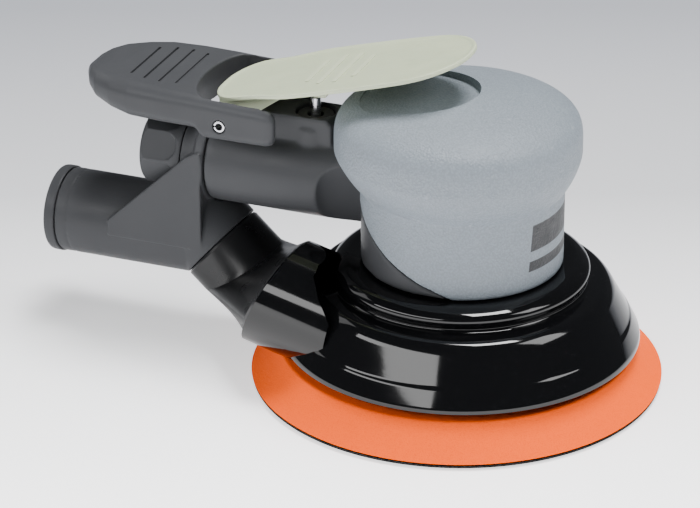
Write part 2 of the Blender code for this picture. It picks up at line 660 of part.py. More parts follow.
# ---- air inlet and dust duct -----------------------------------------------------------
def inlet_bushing():
    """The fluted end piece that takes the air line and clamps the exhaust body to the handle."""
    start = (-102.5 * MM, 0, HANDLE_Z)
    length = 14.2
    piece = object_from("inlet_bushing", turned(
        [(6.1, 0), (10.6, 0), (11.9, 0.7), (12.3, 2.0), (12.3, length), (6.7, length), (6.7, 34.0),
         (4.6, 34.0), (4.6, 17.0), (6.1, 15.0)], 48, start, AXIS_X), BLACK_SATIN)
    flutes = 8
    for i in range(flutes):
        bend = [(9.2 + 3.6 * math.cos(a), 3.6 * math.sin(a)) for a in
                (math.radians(-90 + 30 * k) for k in range(7))]
        flat = prism([(-3, 3.6), (-3, -3.6)] + bend, 11.55, 14.0)
        place(flat, start, Matrix.Rotation(2 * math.pi * (i + 0.43) / flutes, 4, "X"))
        cut(piece, f"bushing_flute_{i + 1}", flat)
    screen = object_from("inlet_screen", turned(
        [(0, 24.0), (3.5, 23.4), (3.5, 17.4), (4.3, 17.4), (4.3, 24.0), (0, 24.6)],
        SMALL, start, AXIS_X), BRASS)
    return piece, screen


def exhaust_body():
    """Collar on the handle end, side webs, straight dust outlet and the inclined inlet spigot."""
    z, handle_z, collar = in_mm(DUCT_Z), in_mm(HANDLE_Z), in_mm(COLLAR_R)
    end = -80.1
    outlet = rod(in_mm(DUCT_R), (in_mm(DUCT_END_X), 0, z), (-86.0, 0, z), 40)
    body = object_from("exhaust_body", outlet, BLACK_SATIN)
    joint = ELBOW_START / MM
    add(body, "inlet_spigot", rod(in_mm(ELBOW_R), joint - ELBOW_DIR * 11.0, joint + ELBOW_DIR, 40))
    block = [(-96.0, 33.0), (-96.0, 47.0), (-81.0, 52.0), (-81.0, 33.0)]
    add(body, "duct_block", prism(block, -12.6, 12.6, "y"))
    web = [(-112.7, 33.0), (-112.7, 38.0), (-85.4, 64.0), (-82.4, 65.6), (-80.7, 65.6), (-80.7, 33.0)]
    for side in (-1, 1):
        near, far = sorted((side * 12.0, side * 13.9))
        add(body, f"side_web_{side}", prism(web, near, far, "y"))
    cut(body, "bushing_clearance", rod(12.75, (-120, 0, handle_z), (-88.0, 0, handle_z), 40))
    add(body, "handle_collar", turned(
        [(0, 0), (12.5, 0), (12.5, 4.4), (13.5, 4.6), (collar, 5.2), (collar, 7.4), (13.5, 7.9), (0, 7.9)],
        40, (-88.0 * MM, 0, HANDLE_Z), AXIS_X))
    around = in_mm(HANDLE_R) + 0.5
    cut(body, "handle_clearance", rod(around, (end + 0.15, 0, handle_z), (-50, 0, handle_z), 36))
    cut(body, "elbow_face", rod(32, joint, joint + ELBOW_DIR * 20, 12))
    cut(body, "duct_bore", rod(in_mm(DUCT_BORE_R), (-140, 0, z), (-86.5, 0, z), 32))
    cut(body, "dust_passage", rod(9.2, (-91, 0, z - 0.9), (-79.0, 0, z - 0.9), 22))
    cut(body, "spigot_bore", rod(in_mm(DUCT_BORE_R), joint - ELBOW_DIR * 3.0, joint + ELBOW_DIR * 5, 32))
    cut(body, "collar_bore", rod(7.1, (-95, 0, handle_z), (-75, 0, handle_z), 24))
    cut(body, "collar_chamber", turned([(8.2, 4.4), (11.6, 4.4), (11.6, 12), (8.2, 12)], 28,
                                       (-88.0 * MM, 0, HANDLE_Z), AXIS_X))
    cut(body, "nozzle_hole", rod(2.9, (-90.5, 0, 40), (-90.5, 0, 46.6), 16))
    cut(body, "nozzle_feed", rod(1.5, (-90.5, 0, 46.0), (-82.5, 0, 50.6), 12))
    return body


def venturi_nozzle():
    """Jet that blows the motor's exhaust air down the outlet and draws the dust with it."""
    z = in_mm(DUCT_Z)
    jet = object_from("venturi_nozzle", turned(
        [(0, 0), (3.0, 0), (3.4, 0.5), (3.4, 5), (2.4, 18), (0, 18)], 20,
        (-88.0 * MM, 0, DUCT_Z), Matrix.Rotation(math.radians(-90), 4, "Y")), BRASS)
    add(jet, "nozzle_stub", rod(2.6, (-90.5, 0, z - 1.1), (-90.5, 0, 46.2), 16))
    cut(jet, "nozzle_bore", rod(1.2, (-112, 0, z), (-90.7, 0, z), 10))
    cut(jet, "nozzle_drilling", rod(1.6, (-90.5, 0, z - 0.6), (-90.5, 0, 50), 14))
    return jet


def hose_end_ring():
    return object_from("hose_end_ring", turned(
        [(11.3, 0), (13.7, 0), (14.1, 0.4), (14.1, 3.0), (13.8, 3.5), (11.3, 3.5)], 40,
        (-135.3 * MM, 0, DUCT_Z), AXIS_X), BLACK_SATIN)


def elbow_rings(radius, end_radius, count=40):
    """Matching rings at the elbow's start, its mitre and the port face."""
    start = ELBOW_START + ELBOW_DIR * GAP
    mitre = ELBOW_START + ELBOW_DIR * ELBOW_MITRE
    end = ELBOW_END - PORT_FACE * GAP
    second = (end - mitre).normalized()
    side = ELBOW_DIR.cross(Vector((0, 1, 0))).normalized()
    up = side.cross(ELBOW_DIR)
    first, middle, last = [], [], []
    for i in range(count):
        a = 2 * math.pi * i / count
        spoke = side * math.cos(a) + up * math.sin(a)
        point = start + spoke * radius
        first.append(point)
        at_fold = point + ELBOW_DIR * ((mitre - point).dot(ELBOW_FOLD) / ELBOW_DIR.dot(ELBOW_FOLD))
        middle.append(at_fold)
        reach = at_fold + second * ((end - at_fold).dot(PORT_FACE) / second.dot(PORT_FACE))
        arm = reach - end
        across = (arm - PORT_AXIS * arm.dot(PORT_AXIS)).length
        last.append(end + arm * (end_radius / across))
    return [first, middle, last]


def swivel_elbow():
    wall = elbow_rings(ELBOW_R, ELBOW_END_R)
    bore = elbow_rings(DUCT_BORE_R, ELBOW_END_BORE_R)
    return object_from("swivel_elbow", pipe_through(wall, bore), BLACK_SATIN, 25)


# ---- dust shroud --------------------------------------------------------------------
def shroud():
    """Stepped skirt round the pad with a tangential dust port."""
    lip, low = in_mm(LIP_R), in_mm(LIP_Z)
    outer = [(0, low), (lip, low), (lip - 0.35, low + 1.2), (52.2, 20.4), (51.8, 20.9), (47.0, 29.4),
             (46.0, 30.4), (45.6, 31.3), (44.8, 32.2), (39.6, 32.9), (38.8, 33.6), (39.0, 35.2),
             (38.3, 37.2), (36.6, 38.6), (34.6, 38.9), (0, 38.9)]
    body = object_from("dust_shroud", turned(outer, 60), BLACK_GLOSS)
    tail = PORT_CENTRE / MM + PORT_AXIS * 26.0
    head = PORT_CENTRE / MM - PORT_AXIS * 14.0
    pipe = object_from("port_pipe", rod(in_mm(PORT_R), head, tail, 40))
    face = turned([(0, 0), (40, 0), (40, 40), (0, 40)], 12, PORT_CENTRE,
                  (-PORT_FACE).to_track_quat("Z", "Y").to_matrix().to_4x4())
    cut(pipe, "port_face_cutter", face)
    round_pad = [(0, -5), (67.5, -5), (67.5, 1), (58.4, 11.6), (57.2, 12.7), (0, 12.7)]
    cut(pipe, "pad_clearance", turned(round_pad, 40))
    over_flange = [(0, 26), (49.2, 26), (49.2, 36.0), (48.0, 40.6), (45.4, 42.4), (42.3, 43.0), (40.4, 43.3),
                   (40.4, 60), (0, 60)]
    clearance = object_from("flange_clearance", turned(over_flange, 48))
    boolean(clearance, object_from("flange_side", box((-60, -60, 20), (0, PORT_RELIEF_Y, 70))), "INTERSECT")
    boolean(pipe, clearance)
    cut(pipe, "neck_clearance", rod(37.2, (0, 0, 32.5), (0, 0, 60), 48))
    boolean(body, pipe, "UNION")
    inner = [(0, 5), (53.2, 5), (53.2, 13.9), (50.3, 20.2), (45.2, 29.2), (37.2, 31.0), (36.8, 33.0),
             (0, 33.0)]
    cut(body, "shroud_cavity", turned(inner, 44))
    cut(body, "neck_hole", rod(28.95, (0, 0, 30), (0, 0, 45), FINE))
    bore = object_from("port_bore", rod(in_mm(PORT_BORE_R), head, tail + PORT_AXIS * 2, 32))
    end_wall = object_from("port_end_wall", rod(51.8, (0, 0, 23.6), (0, 0, 60), 44))
    end_side = object_from("port_end_side", box((-60, -60, 20), (0, PORT_RELIEF_Y + 2, 70)))
    boolean(end_wall, end_side, "INTERSECT")
    boolean(bore, end_wall)
    cut(bore, "port_far_wall", rod(41.7, (0, 0, 23.9), (0, 0, 60), 44))
    boolean(body, bore)
    return body


# ---- assembly -----------------------------------------------------------------------
def build():
    clear_scene()
    motor_axis = joint_empty("motor_axis", (0, 0, 0))
    pad_axis = joint_empty("pad_axis", PAD_CENTRE)
    lever_axis = joint_empty("lever_axis", (PIN_X, 0, PIN_Z))
    stem_axis = joint_empty("stem_axis", (STEM_X, 0, 60 * MM))

    hang_on(pad_axis, sanding_pad() + spindle_set())
    bearing_race("spindle_bearing_outer_race", 10.5, 14.2, 18.5, 29.9, PAD_CENTRE).parent = motor_axis
    snap_ring("spindle_snap_ring", 12.0, 14.2, 17.1, 18.1, PAD_CENTRE).parent = motor_axis
    key = object_from("rotor_key", box((4.5, -1.2, 55.0), (7.6, 1.2, 63.0)), STEEL)
    turning = [shaft_balancer(), rotor(), key] + vanes()
    turning.append(bearing_race("front_bearing_inner_race", 6.3, 8.6, 35.3, 41.6, outer=False))
    turning.append(bearing_race("rear_bearing_inner_race", 6.3, 8.6, 74.0, 79.6, outer=False))
    turning.append(snap_ring("shaft_snap_ring", 5.45, 7.8, 80.0, 80.9))
    hang_on(motor_axis, turning)

    bearing_race("front_bearing_outer_race", 9.1, 12.8, 35.3, 41.6)
    bearing_race("rear_bearing_outer_race", 9.1, 12.8, 74.0, 79.6)
    motor_shell()
    housing()
    grip_boot()
    shroud()
    palm_rest()
    lever_pin()
    inlet_bushing()
    exhaust_body()
    venturi_nozzle()
    hose_end_ring()
    swivel_elbow()

    hang_on(lever_axis, [throttle_lever()])
    stem, o_ring, _, _, poppet, _ = throttle_valve()
    hang_on(stem_axis, [stem, o_ring, poppet])


build()
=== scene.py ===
"""Looks for the air-driven random orbital palm sander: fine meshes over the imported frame, procedural
materials, a pale floor, soft studio light and the camera. Lengths are metres, or millimetres where a
function says so.
"""

import json
import math

import bmesh
import bpy
from mathutils import Matrix, Vector


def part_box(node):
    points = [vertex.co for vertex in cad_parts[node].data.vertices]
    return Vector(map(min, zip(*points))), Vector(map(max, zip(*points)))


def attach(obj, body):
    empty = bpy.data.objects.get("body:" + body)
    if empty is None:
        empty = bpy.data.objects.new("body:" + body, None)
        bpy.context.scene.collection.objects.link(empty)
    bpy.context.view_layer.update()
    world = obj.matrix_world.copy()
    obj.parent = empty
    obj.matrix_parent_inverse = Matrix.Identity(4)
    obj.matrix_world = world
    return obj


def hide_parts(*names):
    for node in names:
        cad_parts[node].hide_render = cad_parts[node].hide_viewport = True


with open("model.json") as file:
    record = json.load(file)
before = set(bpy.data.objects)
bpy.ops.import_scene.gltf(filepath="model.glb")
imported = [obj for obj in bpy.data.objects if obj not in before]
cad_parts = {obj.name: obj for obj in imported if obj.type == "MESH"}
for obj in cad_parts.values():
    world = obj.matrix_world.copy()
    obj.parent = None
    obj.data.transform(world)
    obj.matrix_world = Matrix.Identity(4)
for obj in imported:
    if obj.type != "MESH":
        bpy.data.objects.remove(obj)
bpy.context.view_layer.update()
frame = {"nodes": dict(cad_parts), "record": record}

MM = 0.001
TURN_X = Matrix.Rotation(math.radians(90), 4, "Y")
TURN_Y = Matrix.Rotation(math.radians(-90), 4, "X")
ROUND = 224            # facets round a large turned piece
PIPE = 128


# ---- the frame's own places ------------------------------------------------------------
def mm_box(node):
    """A CAD node's box in millimetres."""
    low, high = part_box(node)
    return Vector(low) / MM, Vector(high) / MM


PAD_LOW, PAD_HIGH = mm_box("pad_foam")
PAD_X = (PAD_LOW.x + PAD_HIGH.x) / 2
PAD_R = (PAD_HIGH.y - PAD_LOW.y) / 2
PAD_CENTRE = (PAD_X * MM, 0, 0)
LIP_R = mm_box("dust_shroud")[1].y
HANDLE_END = mm_box("housing")[0].x
BUSHING_LOW, BUSHING_HIGH = mm_box("inlet_bushing")
HANDLE_Z = (BUSHING_LOW.z + BUSHING_HIGH.z) / 2
RING_LOW, RING_HIGH = mm_box("hose_end_ring")
DUCT_Z = (RING_LOW.z + RING_HIGH.z) / 2
PIN_LOW, PIN_HIGH = mm_box("lever_pin")
PIN_X, PIN_Z = (PIN_LOW.x + PIN_HIGH.x) / 2, (PIN_LOW.z + PIN_HIGH.z) / 2
STEM_LOW, STEM_HIGH = mm_box("valve_stem")
STEM_X = (STEM_LOW.x + STEM_HIGH.x) / 2


# ---- sizes that several pieces share, in mm ----------------------------------------------
LIP_Z = 13.8
HANDLE_R = 13.6
DUCT_R, DUCT_BORE_R = 13.3, 11.3
PIN_HOLE_R = 2.15
PORT_CENTRE = Vector((-51.85, -21.2, 27.9))
PORT_AXIS = Vector((0.97, -0.12, -0.18)).normalized()
PORT_FACE = Vector((0.894, -0.12, -0.431)).normalized()
PORT_R, PORT_BORE_R = 17.9, 13.4
ELBOW_START = Vector((-79.8, 0, 30.5))
ELBOW_DIR = Vector((0.753, -0.05, -0.656)).normalized()
ELBOW_END = Vector((-51.35, -21.2, 29.0))
ELBOW_FOLD = Vector((0.558, 0.021, -0.83)).normalized()
ELBOW_R, ELBOW_END_R, ELBOW_BORE_END_R = 14.0, 17.2, 13.0
ELBOW_MITRE = 10.0
LEVER_SLOPE = 0.273
LEVER_TOP_AT_PIN = 87.0


# ---- mesh tools ------------------------------------------------------------------------------
def raw(name, shape):
    """A plain object from a bmesh, facing out."""
    bmesh.ops.recalc_face_normals(shape, faces=shape.faces)
    if shape.calc_volume(signed=True) < 0:
        bmesh.ops.reverse_faces(shape, faces=shape.faces)
    mesh = bpy.data.meshes.new(name)
    shape.to_mesh(mesh)
    shape.free()
    obj = bpy.data.objects.new(name, mesh)
    bpy.context.scene.collection.objects.link(obj)
    return obj


def place(shape, centre=(0, 0, 0), turn=None):
    where = Matrix.Translation(Vector(centre)) @ (turn if turn else Matrix.Identity(4))
    bmesh.ops.transform(shape, matrix=where, verts=shape.verts)


def spun(profile, steps=ROUND, centre=(0, 0, 0), turn=None):
    """A closed (radius, height) outline in mm turned round Z, then put in its place."""
    shape = bmesh.new()
    points = [shape.verts.new((r * MM, 0, z * MM)) for r, z in profile]
    edges = [shape.edges.new(pair) for pair in zip(points, points[1:])]
    if profile[0][0] > 0:
        edges.append(shape.edges.new((points[-1], points[0])))
    bmesh.ops.spin(
        shape, geom=points + edges, cent=(0, 0, 0), axis=(0, 0, 1), dvec=(0, 0, 0),
        angle=2 * math.pi, steps=steps, use_merge=False, use_duplicate=False,
    )
    bmesh.ops.remove_doubles(shape, verts=shape.verts, dist=1e-6)
    place(shape, centre, turn)
    return shape


def rod(radius, start, end, steps=PIPE):
    """A plain cutter cylinder between two points, all in mm."""
    start, end = Vector(start), Vector(end)
    turn = (end - start).to_track_quat("Z", "Y").to_matrix().to_4x4()
    length = (end - start).length
    return spun([(0, 0), (radius, 0), (radius, length), (0, length)], steps, start * MM, turn)


def prism(outline, low, high, axis="z"):
    """An outline (mm) extruded from low to high (mm) along z, or an x-z outline along y."""
    shape = bmesh.new()
    if axis == "z":
        base = [(u * MM, v * MM, low * MM) for u, v in outline]
        step = Vector((0, 0, (high - low) * MM))
    else:
        base = [(u * MM, low * MM, v * MM) for u, v in outline]
        step = Vector((0, (high - low) * MM, 0))
    face = shape.faces.new([shape.verts.new(point) for point in base])
    grown = bmesh.ops.extrude_face_region(shape, geom=[face])
    moved = [item for item in grown["geom"] if isinstance(item, bmesh.types.BMVert)]
    bmesh.ops.translate(shape, verts=moved, vec=step)
    return shape


def block(low, high):
    (x0, y0, z0), (x1, y1, z1) = low, high
    return prism([(x0, y0), (x1, y0), (x1, y1), (x0, y1)], z0, z1)


def skin(shape, rows):
    """Faces between closed rows of vertices that match one to one."""
    for row, following in zip(rows, rows[1:]):
        for i in range(len(row)):
            j = (i + 1) % len(row)
            shape.faces.new((row[i], row[j], following[j], following[i]))


def lofted(rings):
    """A closed solid through rings of points (metres) that match one to one."""
    shape = bmesh.new()
    rows = [[shape.verts.new(point) for point in ring] for ring in rings]
    skin(shape, rows)
    shape.faces.new(rows[0])
    shape.faces.new(rows[-1])
    return shape


def rounded(corners, closed=True, steps=6):
    """Corners (u, v, reach) joined by straight lines, each corner turned into a curve of that reach."""
    points = []
    last = len(corners) - 1
    for i, (u, v, reach) in enumerate(corners):
        here = Vector((u, v))
        if reach == 0 or (not closed and i in (0, last)):
            points.append(here)
            continue
        before = Vector(corners[i - 1][:2]) - here
        after = Vector(corners[(i + 1) % len(corners)][:2]) - here
        size = min(reach, before.length * 0.49, after.length * 0.49)
        start, end = here + before.normalized() * size, here + after.normalized() * size
        for k in range(steps + 1):
            t = k / steps
            points.append(start * (1 - t) ** 2 + here * (2 * t * (1 - t)) + end * t ** 2)
    return [(p.x, p.y) for p in points]


def smooth_path(points, per_span=6, closed=False):
    """A Catmull-Rom curve through points of any size."""
    points = [Vector(p) for p in points]
    count = len(points)
    spans = count if closed else count - 1
    path = []
    for i in range(spans):
        if closed:
            a, b, c, d = (points[(i + k) % count] for k in (-1, 0, 1, 2))
        else:
            a, b, c, d = (points[min(max(i + k, 0), count - 1)] for k in (-1, 0, 1, 2))
        for k in range(per_span):
            t = k / per_span
            path.append(0.5 * (2 * b + (c - a) * t + (2 * a - 5 * b + 4 * c - d) * t ** 2
                               + (3 * b - a - 3 * c + d) * t ** 3))
    if not closed:
        path.append(points[-1])
    return path


def circle(radius, count):
    return [(radius * math.cos(2 * math.pi * i / count), radius * math.sin(2 * math.pi * i / count))
            for i in range(count)]


def settle(obj):
    """Makes the object's modifiers part of its mesh."""
    graph = bpy.context.evaluated_depsgraph_get()
    mesh = bpy.data.meshes.new_from_object(obj.evaluated_get(graph))
    obj.modifiers.clear()
    before, obj.data = obj.data, mesh
    bpy.data.meshes.remove(before)
    return obj


def joined_with(target, shape, operation="DIFFERENCE"):
    """Cuts the shape from the target, or adds it, for good."""
    tool = shape if isinstance(shape, bpy.types.Object) else raw("tool", shape)
    modifier = target.modifiers.new("join", "BOOLEAN")
    modifier.operation = operation
    modifier.object = tool
    modifier.solver = "EXACT"
    settle(target)
    bpy.data.objects.remove(tool, do_unlink=True)
    return target


def cut(target, *shapes):
    for shape in shapes:
        joined_with(target, shape)
    return target


def add(target, *shapes):
    for shape in shapes:
        joined_with(target, shape, "UNION")
    return target


def moulded_edges(obj, voxel_mm, rounds):
    """Remeshes a solid evenly and eases its edges, as a moulding's are."""
    remesh = obj.modifiers.new("even", "REMESH")
    remesh.mode = "VOXEL"
    remesh.voxel_size = voxel_mm * MM * 1.0
    ease = obj.modifiers.new("ease", "SMOOTH")
    ease.factor = 0.5
    ease.iterations = rounds
    settle(obj)
    obj.data.shade_smooth()
    return obj


def shown(obj, look, body, node, sharp_deg=None):
    """Gives a piece its look and its place in the frame."""
    obj.data.materials.clear()
    obj.data.materials.append(look)
    obj.data.shade_smooth()
    if sharp_deg:
        obj.data.set_sharp_from_angle(angle=math.radians(sharp_deg))
    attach(obj, body)
    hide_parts(node)
    return obj


# ---- materials ------------------------------------------------------------------------------
class Look:
    """A material under construction, with short ways to add nodes."""

    def __init__(self, name, colour, roughness, metallic=0.0, specular=0.5):
        self.material = bpy.data.materials.new(name)
        self.material.use_nodes = True
        self.nodes = self.material.node_tree.nodes
        self.links = self.material.node_tree.links
        self.shader = self.nodes["Principled BSDF"]
        self.colour = colour
        self.shader.inputs["Base Color"].default_value = (*colour, 1)
        self.shader.inputs["Roughness"].default_value = roughness
        self.shader.inputs["Metallic"].default_value = metallic
        self.shader.inputs["Specular IOR Level"].default_value = specular
        self.place = self.nodes.new("ShaderNodeTexCoord").outputs["Object"]

    def node(self, kind, **values):
        made = self.nodes.new(kind)
        for key, value in values.items():
            if hasattr(made, key):
                setattr(made, key, value)
            else:
                made.inputs[key.replace("_", " ")].default_value = value
        return made

    def link(self, source, target):
        self.links.new(source, target)

    def stretched(self, scale):
        mapping = self.node("ShaderNodeMapping")
        mapping.inputs["Scale"].default_value = scale
        self.link(self.place, mapping.inputs["Vector"])
        return mapping.outputs["Vector"]

    def noise(self, scale, detail=3.0, vector=None, distortion=0.0):
        texture = self.node("ShaderNodeTexNoise", Scale=scale, Detail=detail, Distortion=distortion)
        self.link(vector or self.place, texture.inputs["Vector"])
        return texture.outputs["Fac"]

    def cells(self, scale, feature="F1", smoothness=0.6):
        texture = self.node("ShaderNodeTexVoronoi", feature=feature, Scale=scale)
        if feature == "SMOOTH_F1":
            texture.inputs["Smoothness"].default_value = smoothness
        self.link(self.place, texture.inputs["Vector"])
        return texture.outputs["Distance"]

    def ranged(self, source, low, high, from_low=0.0, from_high=1.0):
        made = self.node("ShaderNodeMapRange")
        made.inputs["From Min"].default_value = from_low
        made.inputs["From Max"].default_value = from_high
        made.inputs["To Min"].default_value = low
        made.inputs["To Max"].default_value = high
        self.link(source, made.inputs["Value"])
        return made.outputs["Result"]

    def maths(self, operation, first, second):
        made = self.node("ShaderNodeMath", operation=operation)
        for socket, value in zip(made.inputs, (first, second)):
            if isinstance(value, (int, float)):
                socket.default_value = value
            else:
                self.link(value, socket)
        return made.outputs["Value"]

    def mixed(self, factor, first, second):
        """Colours mixed by a factor. A colour is a tuple or a socket."""
        made = self.node("ShaderNodeMix", data_type="RGBA")
        self.link(factor, made.inputs[0])
        for socket, value in zip((made.inputs[6], made.inputs[7]), (first, second)):
            if isinstance(value, tuple):
                socket.default_value = (*value, 1)
            else:
                self.link(value, socket)
        return made.outputs[2]

    def toned(self, factor, spread):
        """The look's own colour, lighter and darker by the factor."""
        darker = tuple(c * (1 - spread) for c in self.colour)
        lighter = tuple(min(c * (1 + spread), 1.0) for c in self.colour)
        return self.mixed(factor, darker, lighter)

    def paint(self, colour):
        self.link(colour, self.shader.inputs["Base Color"])

    def rough(self, socket):
        self.link(socket, self.shader.inputs["Roughness"])

    def bump(self, *layers):
        """Bump from (height socket, depth in metres) layers."""
        normal = None
        for height, depth in layers:
            made = self.node("ShaderNodeBump", Distance=depth)
            self.link(height, made.inputs["Height"])
            if normal:
                self.link(normal, made.inputs["Normal"])
            normal = made.outputs["Normal"]
        self.link(normal, self.shader.inputs["Normal"])


def worn_edges(look, strength=0.5):
    """Edge factor from the surface's own curvature, for rubbed corners."""
    shape = look.node("ShaderNodeNewGeometry").outputs["Pointiness"]
    return look.ranged(shape, 0.0, strength, 0.52, 0.60)


def moulded_plastic():
    look = Look("satin_black_composite", (0.044, 0.0455, 0.049), 0.52, specular=0.14)
    cloud = look.noise(28, 4)
    tone = look.toned(cloud, 0.14)
    look.paint(look.mixed(worn_edges(look, 0.30), tone, (0.085, 0.086, 0.091)))
    look.rough(look.ranged(look.noise(110, 5), 0.34, 0.50, 0.3, 0.7))
    look.bump((look.noise(2600, 3), 0.00003), (look.cells(1500), 0.00001), (look.noise(60, 2), 0.00012))
    return look.material


def polished_plastic():
    look = Look("polished_black", (0.0026, 0.0027, 0.0031), 0.06, specular=0.38)
    dust = look.ranged(look.noise(900, 6), 0.0, 1.0, 0.62, 0.80)
    look.paint(look.mixed(dust, look.colour, (0.010, 0.010, 0.011)))
    look.rough(look.ranged(look.noise(45, 6, distortion=0.6), 0.040, 0.10, 0.3, 0.75))
    look.bump((look.noise(34, 2), 0.00008), (look.noise(420, 3), 0.000004))
    return look.material


def satin_moulding():
    look = Look("satin_black_duct", (0.0065, 0.0066, 0.0072), 0.34, specular=0.30)
    tone = look.toned(look.noise(30, 4), 0.12)
    look.paint(look.mixed(worn_edges(look, 0.25), tone, (0.030, 0.030, 0.032)))
    look.rough(look.ranged(look.noise(90, 5), 0.24, 0.37, 0.3, 0.7))
    look.bump((look.noise(2400, 3), 0.000012), (look.noise(50, 2), 0.00010))
    return look.material


def grained_rubber():
    look = Look("grained_grey_rubber", (0.198, 0.228, 0.258), 0.52, specular=0.4)
    tone = look.toned(look.noise(22, 5), 0.05)
    grain = look.cells(1500, "SMOOTH_F1", 0.35)
    creases = look.ranged(grain, 0.0, 1.0, 0.25, 0.62)
    shaded = look.mixed(creases, tone, (0.168, 0.194, 0.220))
    worn = look.mixed(worn_edges(look, 0.45), shaded, (0.28, 0.31, 0.34))
    look.paint(look.mixed(printed_bars(look), worn, (0.022, 0.023, 0.026)))
    look.rough(look.ranged(look.noise(300, 4), 0.44, 0.60, 0.3, 0.7))
    wrinkle = look.noise(950, 4, distortion=1.2)
    look.bump((grain, -0.00018), (wrinkle, 0.00014), (look.noise(2600, 2), 0.00003))
    return look.material


BARS = ((45.5, 48.8), (52.0, 60.5))         # heights of the stripes, in mm
BARS_FROM, BARS_TO = -38.0, 25.0            # degrees round the neck
BARS_SLANT = 3.0                            # radians of turn for each metre of height


def printed_bars(look):
    """Mask of two plain slanted stripes printed round the neck, on the side away from the handle."""
    axes = look.node("ShaderNodeSeparateXYZ")
    look.link(look.place, axes.inputs["Vector"])
    height = axes.outputs["Z"]
    turn = look.maths("ARCTAN2", axes.outputs["Y"], axes.outputs["X"])
    slant = look.maths("SUBTRACT", turn, look.maths("MULTIPLY", height, BARS_SLANT))
    beyond = look.maths("GREATER_THAN", slant, math.radians(BARS_FROM))
    across = look.maths("MULTIPLY", beyond, look.maths("LESS_THAN", slant, math.radians(BARS_TO)))
    stripes = [look.maths("MULTIPLY", look.maths("GREATER_THAN", height, low * MM),
                          look.maths("LESS_THAN", height, high * MM)) for low, high in BARS]
    return look.maths("MULTIPLY", across, look.maths("MAXIMUM", *stripes))


def ivory_plastic():
    look = Look("pale_lever", (0.435, 0.485, 0.335), 0.42)
    look.shader.inputs["Subsurface Weight"].default_value = 0.08
    look.shader.inputs["Subsurface Radius"].default_value = (0.002, 0.002, 0.001)
    tone = look.toned(look.noise(30, 4), 0.035)
    look.paint(look.mixed(worn_edges(look, 0.6), tone, (0.66, 0.70, 0.52)))
    look.rough(look.ranged(look.noise(160, 5), 0.34, 0.50, 0.3, 0.7))
    streaks = look.noise(130, 4, look.stretched((1.0, 5.0, 1.0)), 0.8)
    look.bump((look.noise(1900, 3), 0.00003), (streaks, 0.00010), (look.cells(240), 0.00003))
    return look.material


def foam():
    look = Look("orange_foam", (0.98, 0.105, 0.0), 0.78, specular=0.05)
    pores = look.cells(2300)
    # painted shade: the foam's colour darkens towards the middle of each pore
    painted_pore_shade = look.ranged(pores, 1.0, 0.0, 0.05, 0.45)
    tone = look.toned(look.noise(26, 5), 0.07)
    look.paint(look.mixed(painted_pore_shade, tone, (0.86, 0.070, 0.0)))
    look.rough(look.ranged(look.noise(500, 3), 0.62, 0.82, 0.3, 0.7))
    look.bump((pores, 0.00009), (look.noise(600, 4), 0.00010), (look.noise(70, 2), 0.00020))
    return look.material


def hooks():
    look = Look("black_hook_pile", (0.014, 0.014, 0.015), 0.92, specular=0.2)
    tufts = look.cells(1500)
    # painted shade: the pile's colour darkens between the tufts, down in the pile
    depth = look.ranged(tufts, 0.0, 1.0, 0.2, 0.7)
    look.paint(look.mixed(depth, (0.030, 0.030, 0.032), (0.004, 0.004, 0.004)))
    look.rough(look.ranged(look.noise(900, 3), 0.85, 1.0))
    look.bump((tufts, -0.00035), (look.noise(3000, 2), 0.00012))
    return look.material


def metal(name, colour, roughness):
    """Bare metal with the fine rings that turning leaves round Z."""
    look = Look(name, colour, roughness, metallic=1.0)
    lines = look.noise(900, 4, look.stretched((0.12, 0.12, 6.0)))
    look.paint(look.toned(look.noise(90, 5), 0.10))
    look.rough(look.ranged(lines, roughness * 0.75, roughness * 1.35, 0.3, 0.7))
    look.bump((lines, 0.00001), (look.noise(120, 3), 0.00002))
    return look.material


def soft_seal():
    look = Look("black_seal", (0.018, 0.018, 0.019), 0.62)
    look.paint(look.toned(look.noise(200, 3), 0.25))
    look.rough(look.ranged(look.noise(700, 3), 0.52, 0.72))
    look.bump((look.noise(1800, 2), 0.00002))
    return look.material


def layered_fibre(name, colour):
    look = Look(name, colour, 0.55)
    weave = look.noise(1200, 4, look.stretched((1.0, 1.0, 5.0)))
    look.paint(look.toned(weave, 0.18))
    look.rough(look.ranged(look.noise(400, 3), 0.45, 0.68))
    look.bump((weave, 0.00004))
    return look.material


def wool_felt():
    look = Look("grey_felt", (0.30, 0.30, 0.285), 0.95, specular=0.15)
    fibres = look.noise(1600, 6, distortion=2.5)
    look.paint(look.toned(fibres, 0.30))
    look.rough(look.ranged(fibres, 0.88, 1.0))
    look.bump((fibres, 0.00018))
    return look.material


# ---- sanding pad -----------------------------------------------------------------------------
def pad_hole_cutters():
    """Cutters for the dust holes, in the places of the CAD's own."""
    holes, circle_r, hole_r = 5, 40.0, 4.6
    cutters = []
    for i in range(holes):
        angle = 2 * math.pi * (i + 0.5) / holes
        x, y = PAD_X + circle_r * math.cos(angle), circle_r * math.sin(angle)
        cutters.append(rod(hole_r, (x, y, -3), (x, y, 20), 48))
    return cutters


